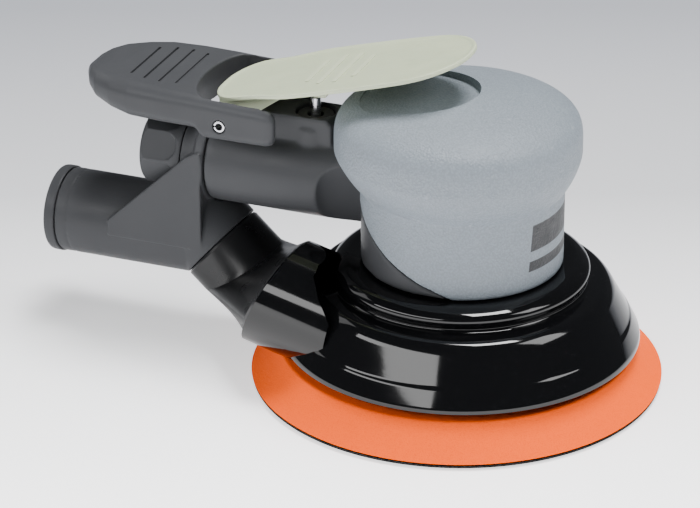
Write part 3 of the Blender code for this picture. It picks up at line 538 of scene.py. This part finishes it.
def pad_pieces(foam_look, hook_look):
    low, top = PAD_LOW.z, PAD_HIGH.z
    top_r, bore = 54.8, 6.0
    side = []
    steps = 22
    for i in range(steps + 1):
        share = i / steps
        bulge = 0.9 * math.sin(math.pi * share)
        side.append((PAD_R + (top_r - PAD_R) * share - bulge, low + 0.25 + (top - low - 0.55) * share, 0))
    outline = [(bore, top, 0), (bore, low, 0), (PAD_R - 0.35, low, 0.2)] + side + [(top_r - 0.5, top, 0.3)]
    body = raw("pad_foam_disc", spun(rounded(outline, steps=3), ROUND, PAD_CENTRE))
    cut(body, *pad_hole_cutters())
    shown(body, foam_look, "sanding_pad", "pad_foam", 40)

    hook_low, hook_high = mm_box("pad_hook_face")
    hook_r = (hook_high.y - hook_low.y) / 2
    layer = raw("pad_hook_layer", spun(rounded([
        (0, hook_high.z, 0), (0, 0, 0), (hook_r - 0.4, 0, 0.3), (hook_r, 0.45, 0.3),
        (hook_r - 0.05, hook_high.z, 0.15)], closed=False, steps=4), ROUND, PAD_CENTRE))
    cut(layer, *pad_hole_cutters())
    shown(layer, hook_look, "sanding_pad", "pad_hook_face", 40)


# ---- shroud ------------------------------------------------------------------------------------
PORT_RELIEF_Y = -13.0                       # the port stops short of the flange on this side of it
PORT_WALL = 2.0


def port_side(limit_y):
    """The space round the port, up to a plane of constant y."""
    return block((-60, -60, 20), (0, limit_y, 70))


def shroud_piece(look):
    """Stepped, polished skirt with its tangential dust port."""
    outer = rounded([
        (0, LIP_Z, 0), (LIP_R, LIP_Z, 0.3), (LIP_R - 0.2, LIP_Z + 1.4, 0.5), (52.35, 20.3, 0.5),
        (51.7, 21.0, 0.6), (46.6, 30.2, 1.7), (44.6, 32.1, 1.3), (39.4, 32.7, 0.7), (38.5, 33.6, 0.7),
        (39.9, 36.8, 2.7), (36.4, 39.3, 2.5), (31.5, 38.9, 0), (0, 38.9, 0)], steps=8)
    body = raw("shroud_shell", spun(outer, ROUND))
    inside, outside = PORT_CENTRE + PORT_AXIS * 26.0, PORT_CENTRE - PORT_AXIS * 14.0
    pipe = raw("port", rod(PORT_R, outside, inside))
    face_turn = (-PORT_FACE).to_track_quat("Z", "Y").to_matrix().to_4x4()
    past_face = spun([(0, 0), (40, 0), (40, 40), (0, 40)], 12, PORT_CENTRE * MM, face_turn)
    cut(pipe, past_face)
    pad_clearance = spun([(0, -5), (67.5, -5), (67.5, 1), (58.4, 11.6), (57.2, 12.7), (0, 12.7)], 96)
    cut(pipe, pad_clearance)
    flange_clearance = raw("flange_clearance", spun([
        (0, 26), (49.2, 26), (49.2, 36.0), (48.0, 40.6), (45.4, 42.4), (42.3, 43.0), (40.4, 43.3), (40.4, 60),
        (0, 60)]))
    joined_with(flange_clearance, port_side(PORT_RELIEF_Y), "INTERSECT")
    neck_clearance = rod(37.2, (0, 0, 32.5), (0, 0, 60), ROUND)
    cut(pipe, flange_clearance, neck_clearance)
    add(body, pipe)
    hollow = spun([(0, 5), (53.2, 5), (53.2, 13.9), (50.3, 20.2), (45.2, 29.2), (37.2, 31.0), (36.8, 33.0),
                   (0, 33.0)], ROUND)
    cut(body, hollow)
    neck_hole = rod(28.95, (0, 0, 30), (0, 0, 45))
    cut(body, neck_hole)
    bore = raw("bore", rod(PORT_BORE_R, outside, inside + PORT_AXIS * 2))
    port_end_wall = raw("end_wall", rod(51.8, (0, 0, 23.6), (0, 0, 60)))
    joined_with(port_end_wall, port_side(PORT_RELIEF_Y + PORT_WALL), "INTERSECT")
    port_far_wall = rod(41.7, (0, 0, 23.9), (0, 0, 60))
    cut(bore, port_end_wall, port_far_wall)
    cut(body, bore)
    return shown(body, look, "tool_body", "dust_shroud", 24)


# ---- housing and grip cover ---------------------------------------------------------------------
RECESS_OUTLINE = [
    (4.8, 0), (4.2, 4.0), (2.6, 8.0), (0.0, 11.5), (-3.8, 14.6), (-8.5, 16.9), (-14.0, 18.1), (-20.0, 18.1),
    (-25.0, 16.2), (-28.4, 12.2), (-30.4, 7.0), (-31.0, 0),
]
SKIRT_EDGE = [
    (9.6, 38.4), (3.0, 41.3), (-3.3, 43.6), (-12.1, 47.6), (-19.4, 51.9), (-25.4, 56.6), (-29.8, 62.6),
    (-33.6, 69.8), (-36.2, 76.6),
]


def skirt_region(inset=0.0):
    """Side view of what the grip cover leaves bare on the handle side."""
    far, low, top = -60.0, 30.0, 77.4
    edge = [(p.x - inset, p.y - inset * 0.6) for p in smooth_path([Vector(p) for p in SKIRT_EDGE], 6)]
    corner = [(edge[-1][0] - 1.0, top - inset - 0.3), (edge[-1][0] - 2.5, top - inset)]
    return edge + corner + [(far, top - inset), (far, low), (edge[0][0], low)]


def housing_piece(look):
    """Motor housing with the handle tube, the valve boss and the lever lug."""
    body = raw("housing_casting", spun(
        [(0, 33.3), (28.6, 33.3), (28.6, 83.4), (28.2, 84.3), (27.2, 85.0), (0, 85.0)], ROUND))
    flush = raw("flush", rod(30.7, (0, 0, 39.6), (0, 0, 62.0), ROUND))
    joined_with(flush, prism(skirt_region(0.45), -45, 45, "y"), "INTERSECT")
    joined_with(body, flush, "UNION")
    grip = rounded([(0, 0, 0), (HANDLE_R, 0, 0.9), (HANDLE_R, 60, 0), (0, 60, 0)], closed=False)
    tube = raw("tube", spun(grip, PIPE, (HANDLE_END * MM, 0, HANDLE_Z * MM), TURN_X))
    for side in (-1, 1):
        scoop = spun([(0, -30), (1, -30), (1, 30), (0, 30)], 64)
        bmesh.ops.scale(scoop, vec=(14.0, 6.5, 1), verts=scoop.verts)
        place(scoop, Vector((-28.5, side * 14.5, 61)) * MM, Matrix.Rotation(side * -0.29, 4, "X"))
        cut(tube, scoop)
    joined_with(body, tube, "UNION")
    lug_r = 3.5
    lug_eye = [(PIN_X + lug_r * math.cos(math.pi * i / 16), PIN_Z + lug_r * math.sin(math.pi * i / 16))
               for i in range(17)]
    stem_place = (STEM_X * MM, 0, 0)
    boss = spun([(0, 62), (8.4, 62), (7.7, 76.4), (7.2, 77.0), (0, 77.0)], 64, stem_place)
    valve_block = prism([(-65.0, 66), (-39.8, 66), (-39.8, 78.6), (-41.4, 80.4), (-63.0, 80.4), (-65.0, 78.6)],
                        -7.0, 7.0, "y")
    lug = prism(lug_eye + [(PIN_X - 4.5, 68), (PIN_X + 6.5, 68)], -7.2, 7.2, "y")
    lug_root = block((-77.0, -6.6, 66), (-54.0, 6.6, 74.6))
    add(body, boss, valve_block, lug, lug_root)
    motor_chamber = rod(25.5, (0, 0, 25), (0, 0, 82.8), 96)
    inlet_bore = rod(7.0, (-90, 0, HANDLE_Z), (-64, 0, HANDLE_Z), 48)
    stem_bore = spun([(0, 53.6), (5.4, 53.6), (5.4, 69.3), (5.0, 69.3), (5.0, 77.1), (6.2, 77.1), (6.2, 90),
                      (0, 90)], 48, stem_place)
    pin_hole = rod(PIN_HOLE_R, (PIN_X, -30, PIN_Z), (PIN_X, 30, PIN_Z), 32)
    exhaust_way = rod(2.2, (-90, 0, 49.8), (-70, 0, 49.8), 24)
    cut(body, motor_chamber, inlet_bore, stem_bore, pin_hole, exhaust_way)
    moulded_edges(body, 0.55, 4)
    return shown(body, look, "tool_body", "housing")


def grip_piece(look):
    """Soft domed cover that overhangs its neck, cut away on the handle side."""
    neck, head, mid, rise_mm, shift_x = 31.1, 37.5, 75.4, 18.4, -1.45
    levels = [(neck - 0.45, 39.2, 0.0), (neck - 0.12, 39.35, 0.0), (neck, 39.8, 0.0), (neck, 46.0, 0.0),
              (neck, 53.0, 0.0)]
    under, under_power, steps = 11.2, 1.25, 22
    for i in range(steps):
        t = math.pi / 2 * (1 - i / steps)
        rise = 1 - math.sin(t) ** (2 / under_power)
        radius = neck + (head - neck) * math.cos(t) ** (2 / under_power)
        levels.append((radius, mid - under + under * rise, rise))
    steps = 44
    for i in range(steps):
        share = math.cos(math.pi / 2 * i / steps) ** 0.8
        levels.append((head * share, mid + rise_mm * (1 - share ** 1.35) ** 0.2, 1.0))
    rings = [[Vector((shift_x * shift + x, y, z)) * MM for x, y in circle(radius, ROUND)]
             for radius, z, shift in levels]
    cover = raw("grip_cover", lofted(rings))
    cut(
        cover,
        spun([(0, 30), (28.9, 30), (28.9, 83.8), (27.6, 85.3), (0, 85.3)], 96),
        prism(skirt_region(), -60, 60, "y"),
        rod(HANDLE_R + 0.4, (-60, 0, HANDLE_Z), (-15, 0, HANDLE_Z), 96),
    )
    moulded_edges(cover, 0.46, 5)
    edge = smooth_path([Vector(p) for p in RECESS_OUTLINE + [(x, -y) for x, y in RECESS_OUTLINE[-2:0:-1]]],
                       6, closed=True)
    low = [Vector((p.x, p.y, 90.3 + 0.028 * (p.x - 6))) * MM for p in edge]
    cut(cover, lofted([low, [Vector((point.x, point.y, 0.100)) for point in low]]))
    return shown(cover, look, "tool_body", "grip_boot", 50)


# ---- lever and palm rest ---------------------------------------------------------------------------
LEVER_OUTLINE = [
    (-77.8, 3.4), (-77.0, 7.4), (-75.2, 11.3), (-72.4, 14.4), (-68.8, 15.9), (-62.0, 16.4),
    (-56.0, 18.1), (-50.0, 19.7), (-40.0, 20.2), (-25.0, 20.1), (-13.0, 19.1), (-6.5, 16.6),
    (-2.2, 12.9), (0.9, 8.2), (2.3, 3.1),
]


def lever_top(x):
    return LEVER_TOP_AT_PIN + LEVER_SLOPE * (x - PIN_X)


def lever_piece(look):
    """Throttle lever: a thin plate with a raised lip round its edge, and two ears for the pin."""
    corners = LEVER_OUTLINE + [(x, -y) for x, y in reversed(LEVER_OUTLINE)]
    path = [Vector((p.x, p.y)) for p in smooth_path([Vector(c) for c in corners], 7, closed=True)]
    count = len(path)
    inward = []
    for i in range(count):
        along = (path[(i + 1) % count] - path[i - 1]).normalized()
        side = Vector((-along.y, along.x))
        middle = Vector((-38.0, 0))
        inward.append(side if side.dot(middle - path[i]) > 0 else -side)
    tilt = math.atan(LEVER_SLOPE)
    up = Vector((-math.sin(tilt), 0, math.cos(tilt)))
    layers = [  # inset from the edge, height over the top plane
        (1.0, -1.4), (0.3, -1.4), (0.05, -1.25), (0.0, -1.05), (0.0, -0.35), (0.08, -0.12), (0.3, 0.0),
        (0.75, 0.02), (1.05, -0.08), (1.35, -0.25), (1.7, -0.30), (3.2, -0.30),
    ]
    rings = []
    for inset, height in layers:
        ring = []
        for point, side in zip(path, inward):
            spot = point + side * inset
            ring.append((Vector((spot.x, spot.y, lever_top(spot.x))) + up * height) * MM)
        rings.append(ring)
    plate = raw("lever_plate", lofted(rings))
    ear_r = 3.9
    inside_plate = 0.8                      # how far below the top plane the ears and the rib end
    eye = [(PIN_X + ear_r * math.cos(math.radians(a)), PIN_Z + ear_r * math.sin(math.radians(a)))
           for a in range(170, 341, 10)]
    ear = eye + [(-53.0, lever_top(-53) - 3.6), (-50.0, lever_top(-50) - inside_plate),
                 (-75.2, lever_top(-75.2) - inside_plate)]
    for side in (-1, 1):
        near, far = sorted((side * 7.7, side * 10.4))
        add(plate, prism(ear, near, far, "y"))
    rib = [(-60.0, lever_top(-60) - inside_plate), (-58.0, 85.8), (-43.5, 85.8),
           (-38.0, lever_top(-38) - inside_plate)]
    add(plate, prism(rib, -2.6, 2.6, "y"))
    half = 0.8
    for i, reach in enumerate((9.0, 12.0, 12.0, 9.0)):
        stadium = [(-half, -reach, half), (half, -reach, half), (half, reach, half), (-half, reach, half)]
        bar = prism(rounded(stadium), -0.7, -0.10)
        x = -47.0 + 5.0 * i
        place(bar, Vector((x, 0, lever_top(x))) * MM, Matrix.Rotation(-tilt, 4, "Y"))
        add(plate, bar)
    cut(plate, rod(PIN_HOLE_R, (PIN_X, -12, PIN_Z), (PIN_X, 12, PIN_Z), 48))
    return shown(plate, look, "lever", "throttle_lever", 28)


PALM_STATIONS = [
    # x, half width, bottom, top, corner radius
    (-53.2, 19.4, 77.0, 83.8, 2.2), (-53.7, 20.2, 75.6, 85.1, 2.8), (-54.6, 20.6, 74.7, 85.9, 3.2),
    (-56.4, 20.8, 74.1, 86.45, 3.5), (-66.0, 20.8, 74.0, 86.9, 3.6), (-76.6, 20.8, 74.0, 87.35, 3.6),
    (-77.8, 20.8, 74.7, 87.42, 3.6), (-79.0, 20.8, 76.4, 87.5, 3.6), (-80.4, 20.8, 76.8, 87.55, 3.6),
    (-92.0, 20.8, 76.8, 88.0, 4.0), (-102.0, 20.0, 76.8, 88.25, 4.4), (-109.0, 17.8, 77.4, 88.2, 4.8),
    (-115.4, 14.3, 78.6, 87.8, 4.4), (-118.9, 10.3, 80.0, 87.1, 3.4), (-121.1, 6.1, 81.5, 86.1, 2.2),
    (-121.8, 3.0, 82.8, 85.1, 1.1),
]


def section(x, half, low, high, radius):
    """A rectangle with round corners in the plane at x, from mm to metres."""
    points = []
    per_corner = 8
    for cy, cz, start in ((half - radius, high - radius, 0), (radius - half, high - radius, 90),
                          (radius - half, low + radius, 180), (half - radius, low + radius, 270)):
        for i in range(per_corner + 1):
            a = math.radians(start + 90 * i / per_corner)
            points.append(Vector((x, cy + radius * math.cos(a), cz + radius * math.sin(a))) * MM)
    return points


def palm_piece(look):
    """Palm rest with its forked arms and a plain pattern of grooves where the palm lies."""
    rest = raw("palm_saddle", lofted([section(*row) for row in PALM_STATIONS]))
    half, back, depth = 18.3, -75.5, 8.0
    bend = [(back + depth * math.cos(math.radians(a)), half * math.sin(math.radians(a)))
            for a in range(90, 271, 6)]
    cut(rest, prism([(-40, -half), (-40, half)] + bend, 60, 100))
    cut(rest, rod(PIN_HOLE_R, (PIN_X, -30, PIN_Z), (PIN_X, 30, PIN_Z), 48))
    moulded_edges(rest, 0.34, 8)
    for i, reach in enumerate((12.5, 13.5, 13.0, 11.0)):
        x = -88.5 - 5.2 * i
        groove = rounded([(x - 0.45, -reach, 0.4), (x + 0.45, -reach, 0.4), (x + 0.45, reach, 0.4),
                          (x - 0.45, reach, 0.4)])
        joined_with(rest, prism(groove, 87.3 + 0.05 * i, 92))
    return shown(rest, look, "tool_body", "palm_rest", 50)


# ---- inlet, exhaust and duct --------------------------------------------------------------------------
def bushing_piece(look):
    """Fluted inlet bushing with round-ended flats."""
    start = Vector((BUSHING_LOW.x, 0, HANDLE_Z))
    length = 14.2
    body = raw("fluted_bushing", spun(
        rounded([(6.1, 0, 0.3), (10.9, 0, 0.8), (12.3, 2.0, 1.6), (12.3, length, 0.4), (6.7, length, 0),
                 (6.7, 34.0, 0.3), (4.6, 34.0, 0), (4.6, 17.0, 0), (6.1, 15.0, 0)], steps=6),
        PIPE, start * MM, TURN_X))
    flutes = 8
    for i in range(flutes):
        bend = [(8.2 + 4.4 * math.cos(math.radians(a)), 4.4 * math.sin(math.radians(a)))
                for a in range(-90, 91, 9)]
        flat = prism([(-3, 4.4), (-3, -4.4)] + bend, 11.35, 15.0)
        place(flat, start * MM, Matrix.Rotation(2 * math.pi * (i + 0.43) / flutes, 4, "X"))
        cut(body, flat)
    moulded_edges(body, 0.26, 3)
    return shown(body, look, "tool_body", "inlet_bushing")


def exhaust_piece(look):
    """Collar on the handle's end, side webs, straight dust outlet and the inclined spigot."""
    handle_side, back, collar_low_r, collar_r, web_low = -80.1, -88.0, 12.6, 14.0, 33.0
    duct_end = RING_HIGH.x + 0.3
    body = raw("exhaust_casting", rod(DUCT_R, (duct_end, 0, DUCT_Z), (-86.0, 0, DUCT_Z)))
    groove_r = DUCT_R - 0.45
    groove = spun([(groove_r, 0), (DUCT_R + 3, 0), (DUCT_R + 3, 0.8), (groove_r, 0.8)], PIPE,
                  ((duct_end + 3.6) * MM, 0, DUCT_Z * MM), TURN_X)
    spigot = rod(ELBOW_R, ELBOW_START - ELBOW_DIR * 11.0, ELBOW_START + ELBOW_DIR)
    core = prism([(-96.0, web_low), (-96.0, 47.0), (-81.0, 52.0), (-81.0, web_low)], -12.6, 12.6, "y")
    add(body, spigot)
    add(body, core)
    web = [(-112.7, web_low), (-112.7, 38.0), (-85.4, 64.0), (-82.4, 65.6), (-80.7, 65.6), (-80.7, web_low)]
    for side in (-1, 1):
        near, far = sorted((side * 12.0, side * 13.9))
        add(body, prism(web, near, far, "y"))
    cut(body, groove, rod(12.75, (-120, 0, HANDLE_Z), (back, 0, HANDLE_Z)))
    collar = rounded([(0, 0, 0), (collar_low_r, 0, 0.3), (collar_low_r, 4.4, 0.2), (collar_r, 5.0, 0.6),
                      (collar_r, 7.9, 0.7), (0, 7.9, 0)], closed=False)
    add(body, spun(collar, PIPE, (back * MM, 0, HANDLE_Z * MM), TURN_X))
    handle_hole = rod(HANDLE_R + 0.5, (handle_side + 0.15, 0, HANDLE_Z), (-50, 0, HANDLE_Z), 96)
    past_spigot = rod(32, ELBOW_START, ELBOW_START + ELBOW_DIR * 20, 12)
    duct_bore = rod(DUCT_BORE_R, (-140, 0, DUCT_Z), (-86.5, 0, DUCT_Z))
    way_through = rod(9.2, (-91, 0, DUCT_Z - 0.9), (-79.0, 0, DUCT_Z - 0.9), 64)
    spigot_bore = rod(DUCT_BORE_R, ELBOW_START - ELBOW_DIR * 3.0, ELBOW_START + ELBOW_DIR * 5)
    bushing_hole = rod(7.1, (-95, 0, HANDLE_Z), (-75, 0, HANDLE_Z), 64)
    jet_hole = rod(2.9, (-90.5, 0, 40), (-90.5, 0, 46.6), 32)
    cut(body, handle_hole, past_spigot, duct_bore, way_through, spigot_bore, bushing_hole, jet_hole)
    moulded_edges(body, 0.38, 2)
    return shown(body, look, "tool_body", "exhaust_body")


def end_ring_piece(look):
    body = raw("hose_ring", spun(
        rounded([(11.3, 0, 0.3), (13.5, 0, 0.7), (13.7, 1.0, 0.4), (13.7, 3.2, 0.2), (13.5, 3.5, 0.1),
                 (11.3, 3.5, 0)]),
        PIPE, (RING_LOW.x * MM, 0, DUCT_Z * MM), TURN_X))
    return shown(body, look, "tool_body", "hose_end_ring", 40)


def elbow_rings(radius, end_radius, inset=0.0):
    """Matching rings at the elbow's start, its mitre and the port, with spare rings beside each fold."""
    start = ELBOW_START + ELBOW_DIR * 0.3
    mitre = ELBOW_START + ELBOW_DIR * ELBOW_MITRE
    end = ELBOW_END - PORT_FACE * 0.3
    second = (end - mitre).normalized()
    side = ELBOW_DIR.cross(Vector((0, 1, 0))).normalized()
    up = side.cross(ELBOW_DIR)
    rows = [[] for _ in range(7)]
    for i in range(PIPE):
        a = 2 * math.pi * i / PIPE
        spoke = side * math.cos(a) + up * math.sin(a)
        first = start + spoke * radius
        crease = first + ELBOW_DIR * ((mitre - first).dot(ELBOW_FOLD) / ELBOW_DIR.dot(ELBOW_FOLD))
        reach = crease + second * ((end - crease).dot(PORT_FACE) / second.dot(PORT_FACE))
        arm = reach - end
        last = end + arm * (end_radius / (arm - PORT_AXIS * arm.dot(PORT_AXIS)).length)
        eased = start + spoke * (radius - inset)
        inner_last = last - arm.normalized() * inset
        spots = (eased, first.lerp(crease, 0.06), first.lerp(crease, 0.88),
                 crease.lerp(first.lerp(last, 0.5), 0.03), crease.lerp(last, 0.10), crease.lerp(last, 0.95),
                 inner_last)
        for row, spot in zip(rows, spots):
            row.append(spot * MM)
    return rows


def elbow_piece(look):
    """Swivel elbow from the spigot to the dust port, with a soft crease at its mitre."""
    outer = elbow_rings(ELBOW_R, ELBOW_END_R, 0.45)
    inner = elbow_rings(DUCT_BORE_R, ELBOW_BORE_END_R)
    shape = bmesh.new()
    wall, bore = [[[shape.verts.new(point) for point in ring] for ring in side] for side in (outer, inner)]
    skin(shape, wall)
    skin(shape, bore)
    for at_end in (0, -1):
        skin(shape, [wall[at_end], bore[at_end]])
    body = raw("duct_elbow", shape)
    return shown(body, look, "tool_body", "swivel_elbow", 24)


# ---- small metal pieces -------------------------------------------------------------------------------
def small_pieces(steel, dark):
    length = PIN_HIGH.y - PIN_LOW.y
    sleeve = rounded([(1.15, 0, 0.15), (1.85, 0, 0.4), (1.85, length, 0.4), (1.15, length, 0.15)])
    pin = raw("roll_pin", spun(sleeve, 48, (PIN_X * MM, PIN_LOW.y * MM, PIN_Z * MM), TURN_Y))
    cut(pin, block((PIN_X - 3, -30, PIN_Z - 0.3), (PIN_X - 0.6, 30, PIN_Z + 0.3)))
    shown(pin, steel, "tool_body", "lever_pin", 35)
    stem = raw("throttle_pin", spun(
        rounded([(0, 61.2, 0), (1.3, 61.2, 0.2), (1.3, 68.0, 0.2), (1.6, 68.4, 0.2), (1.6, 73.2, 0),
                 (1.1, 73.2, 0), (1.1, 75.0, 0), (1.6, 75.0, 0), (1.6, 84.9, 0.5), (0, 85.3, 0)],
                closed=False),
        48, (STEM_X * MM, 0, 0)))
    shown(stem, steel, "throttle_stem", "valve_stem", 35)
    guide = raw("stem_guide", spun(
        rounded([(2.5, 70.0, 0), (4.7, 70.0, 0), (4.7, 77.3, 0), (5.8, 77.3, 0.2), (5.8, 79.2, 0.5),
                 (2.5, 79.2, 0.3)]),
        64, (STEM_X * MM, 0, 0)))
    shown(guide, dark, "tool_body", "valve_bushing", 35)


# ---- studio ---------------------------------------------------------------------------------------------
def studio_floor():
    """A large pale sheet, with painted shade that darkens it towards the back and a painted glow that
    brightens it towards the front.
    """
    shape = bmesh.new()
    cells, half, shift_back, gap_below_pad = 24, 3.0, 0.8, 0.0004
    bmesh.ops.create_grid(shape, x_segments=cells, y_segments=cells, size=half)
    bmesh.ops.translate(shape, verts=shape.verts, vec=(0, shift_back, -gap_below_pad))
    mesh = bpy.data.meshes.new("studio_floor")
    shape.to_mesh(mesh)
    shape.free()
    floor = bpy.data.objects.new("studio_floor", mesh)
    bpy.context.scene.collection.objects.link(floor)
    look = Look("floor_paper", (0.80, 0.80, 0.81), 0.85, specular=0.15)
    camera_azimuth = 21.5
    turned = look.node("ShaderNodeMapping")
    turned.inputs["Rotation"].default_value = (0, 0, math.radians(-camera_azimuth))
    look.link(look.place, turned.inputs["Vector"])
    depth = look.node("ShaderNodeSeparateXYZ")
    look.link(turned.outputs["Vector"], depth.inputs["Vector"])
    # painted shade: the paint darkens towards the back, standing in for the light falling off
    back = look.ranged(depth.outputs["Y"], 0.0, 1.0, -0.10, 0.30)
    look.paint(look.mixed(back, (0.90, 0.90, 0.905), (0.32, 0.33, 0.36)))
    # painted light: the floor itself glows towards the front, brighter than the lamps make it
    front = look.ranged(depth.outputs["Y"], 0.0, 1.0, -0.14, 0.13)
    look.link(look.mixed(front, (2.0, 2.0, 2.02), (0.0, 0.0, 0.0)), look.shader.inputs["Emission Color"])
    look.shader.inputs["Emission Strength"].default_value = 1.0
    look.bump((look.noise(1200, 3), 0.00002))
    mesh.materials.append(look.material)


LIGHT_TARGET = Vector((0, 0, 0.04))


def area_light(name, azimuth, elevation, distance, width, height, power):
    """A softbox seen from the target at that azimuth (0 is -Y, 90 is +X) and elevation."""
    az, el = math.radians(azimuth), math.radians(elevation)
    aim = Vector((math.sin(az) * math.cos(el), -math.cos(az) * math.cos(el), math.sin(el)))
    data = bpy.data.lights.new(name, "AREA")
    data.shape = "RECTANGLE"
    data.size, data.size_y = width, height
    data.energy = power
    lamp = bpy.data.objects.new(name, data)
    lamp.location = LIGHT_TARGET + aim * distance
    lamp.rotation_euler = aim.to_track_quat("Z", "Y").to_euler()
    bpy.context.scene.collection.objects.link(lamp)


def studio_light():
    area_light("overhead", 140, 80, 1.3, 0.58, 0.46, 33)
    area_light("front_left_box", -30, 30, 1.3, 1.45, 0.28, 11)
    area_light("far_right_box", 97, 45, 1.2, 0.46, 0.50, 6.5)
    area_light("left_fill", -100, 30, 1.6, 0.8, 0.8, 4)
    world = bpy.data.worlds.new("studio")
    world.use_nodes = True
    world.node_tree.nodes["Background"].inputs["Color"].default_value = (0.80, 0.84, 0.90, 1)
    world.node_tree.nodes["Background"].inputs["Strength"].default_value = 0.10
    bpy.context.scene.world = world


def camera():
    """A long lens in front of the tool, to its right and above it."""
    eye = Vector((0.3249, -0.9175, 0.5125))
    target = Vector((-0.03654, 0, 0.03343))
    roll = Matrix.Rotation(math.radians(-0.118), 4, "Z")
    data = bpy.data.cameras.new("camera")
    data.lens, data.sensor_width = 182.25, 36
    view = bpy.data.objects.new("camera", data)
    look = (target - eye).to_track_quat("-Z", "Y").to_matrix().to_4x4()
    view.matrix_world = Matrix.Translation(eye) @ look @ roll
    bpy.context.scene.collection.objects.link(view)
    bpy.context.scene.camera = view


# ---- the whole picture --------------------------------------------------------------------------------
def finish_frame_nodes(looks):
    """Every CAD node that stays takes the look of its slot."""
    slots = {entry["node"]: entry["material_slot"] for entry in frame["record"]["subparts"]}
    for node, obj in frame["nodes"].items():
        obj.data.materials.clear()
        obj.data.materials.append(looks[slots[node]])


def main():
    satin, gloss, grip, ivory = moulded_plastic(), polished_plastic(), grained_rubber(), ivory_plastic()
    duct = satin_moulding()
    orange, pile, steel = foam(), hooks(), metal("ground_steel", (0.58, 0.58, 0.60), 0.28)
    seal = soft_seal()
    finish_frame_nodes({
        "grip_rubber": grip, "black_composite": satin, "gloss_shroud": gloss, "cream_lever": ivory,
        "orange_foam": orange, "black_hook": pile, "steel": steel, "rubber": seal,
        "fibre_plate": layered_fibre("tan_fibre", (0.50, 0.44, 0.30)),
        "aluminium": metal("machined_aluminium", (0.72, 0.73, 0.75), 0.36),
        "brass": metal("turned_brass", (0.70, 0.50, 0.22), 0.30),
        "vane_laminate": layered_fibre("vane_laminate", (0.17, 0.085, 0.04)),
        "felt": wool_felt(),
    })
    pad_pieces(orange, pile)
    shroud_piece(gloss)
    housing_piece(satin)
    grip_piece(grip)
    lever_piece(ivory)
    palm_piece(satin)
    bushing_piece(satin)
    exhaust_piece(satin)
    end_ring_piece(satin)
    elbow_piece(duct)
    small_pieces(steel, seal)
    studio_floor()
    studio_light()
    camera()


main()
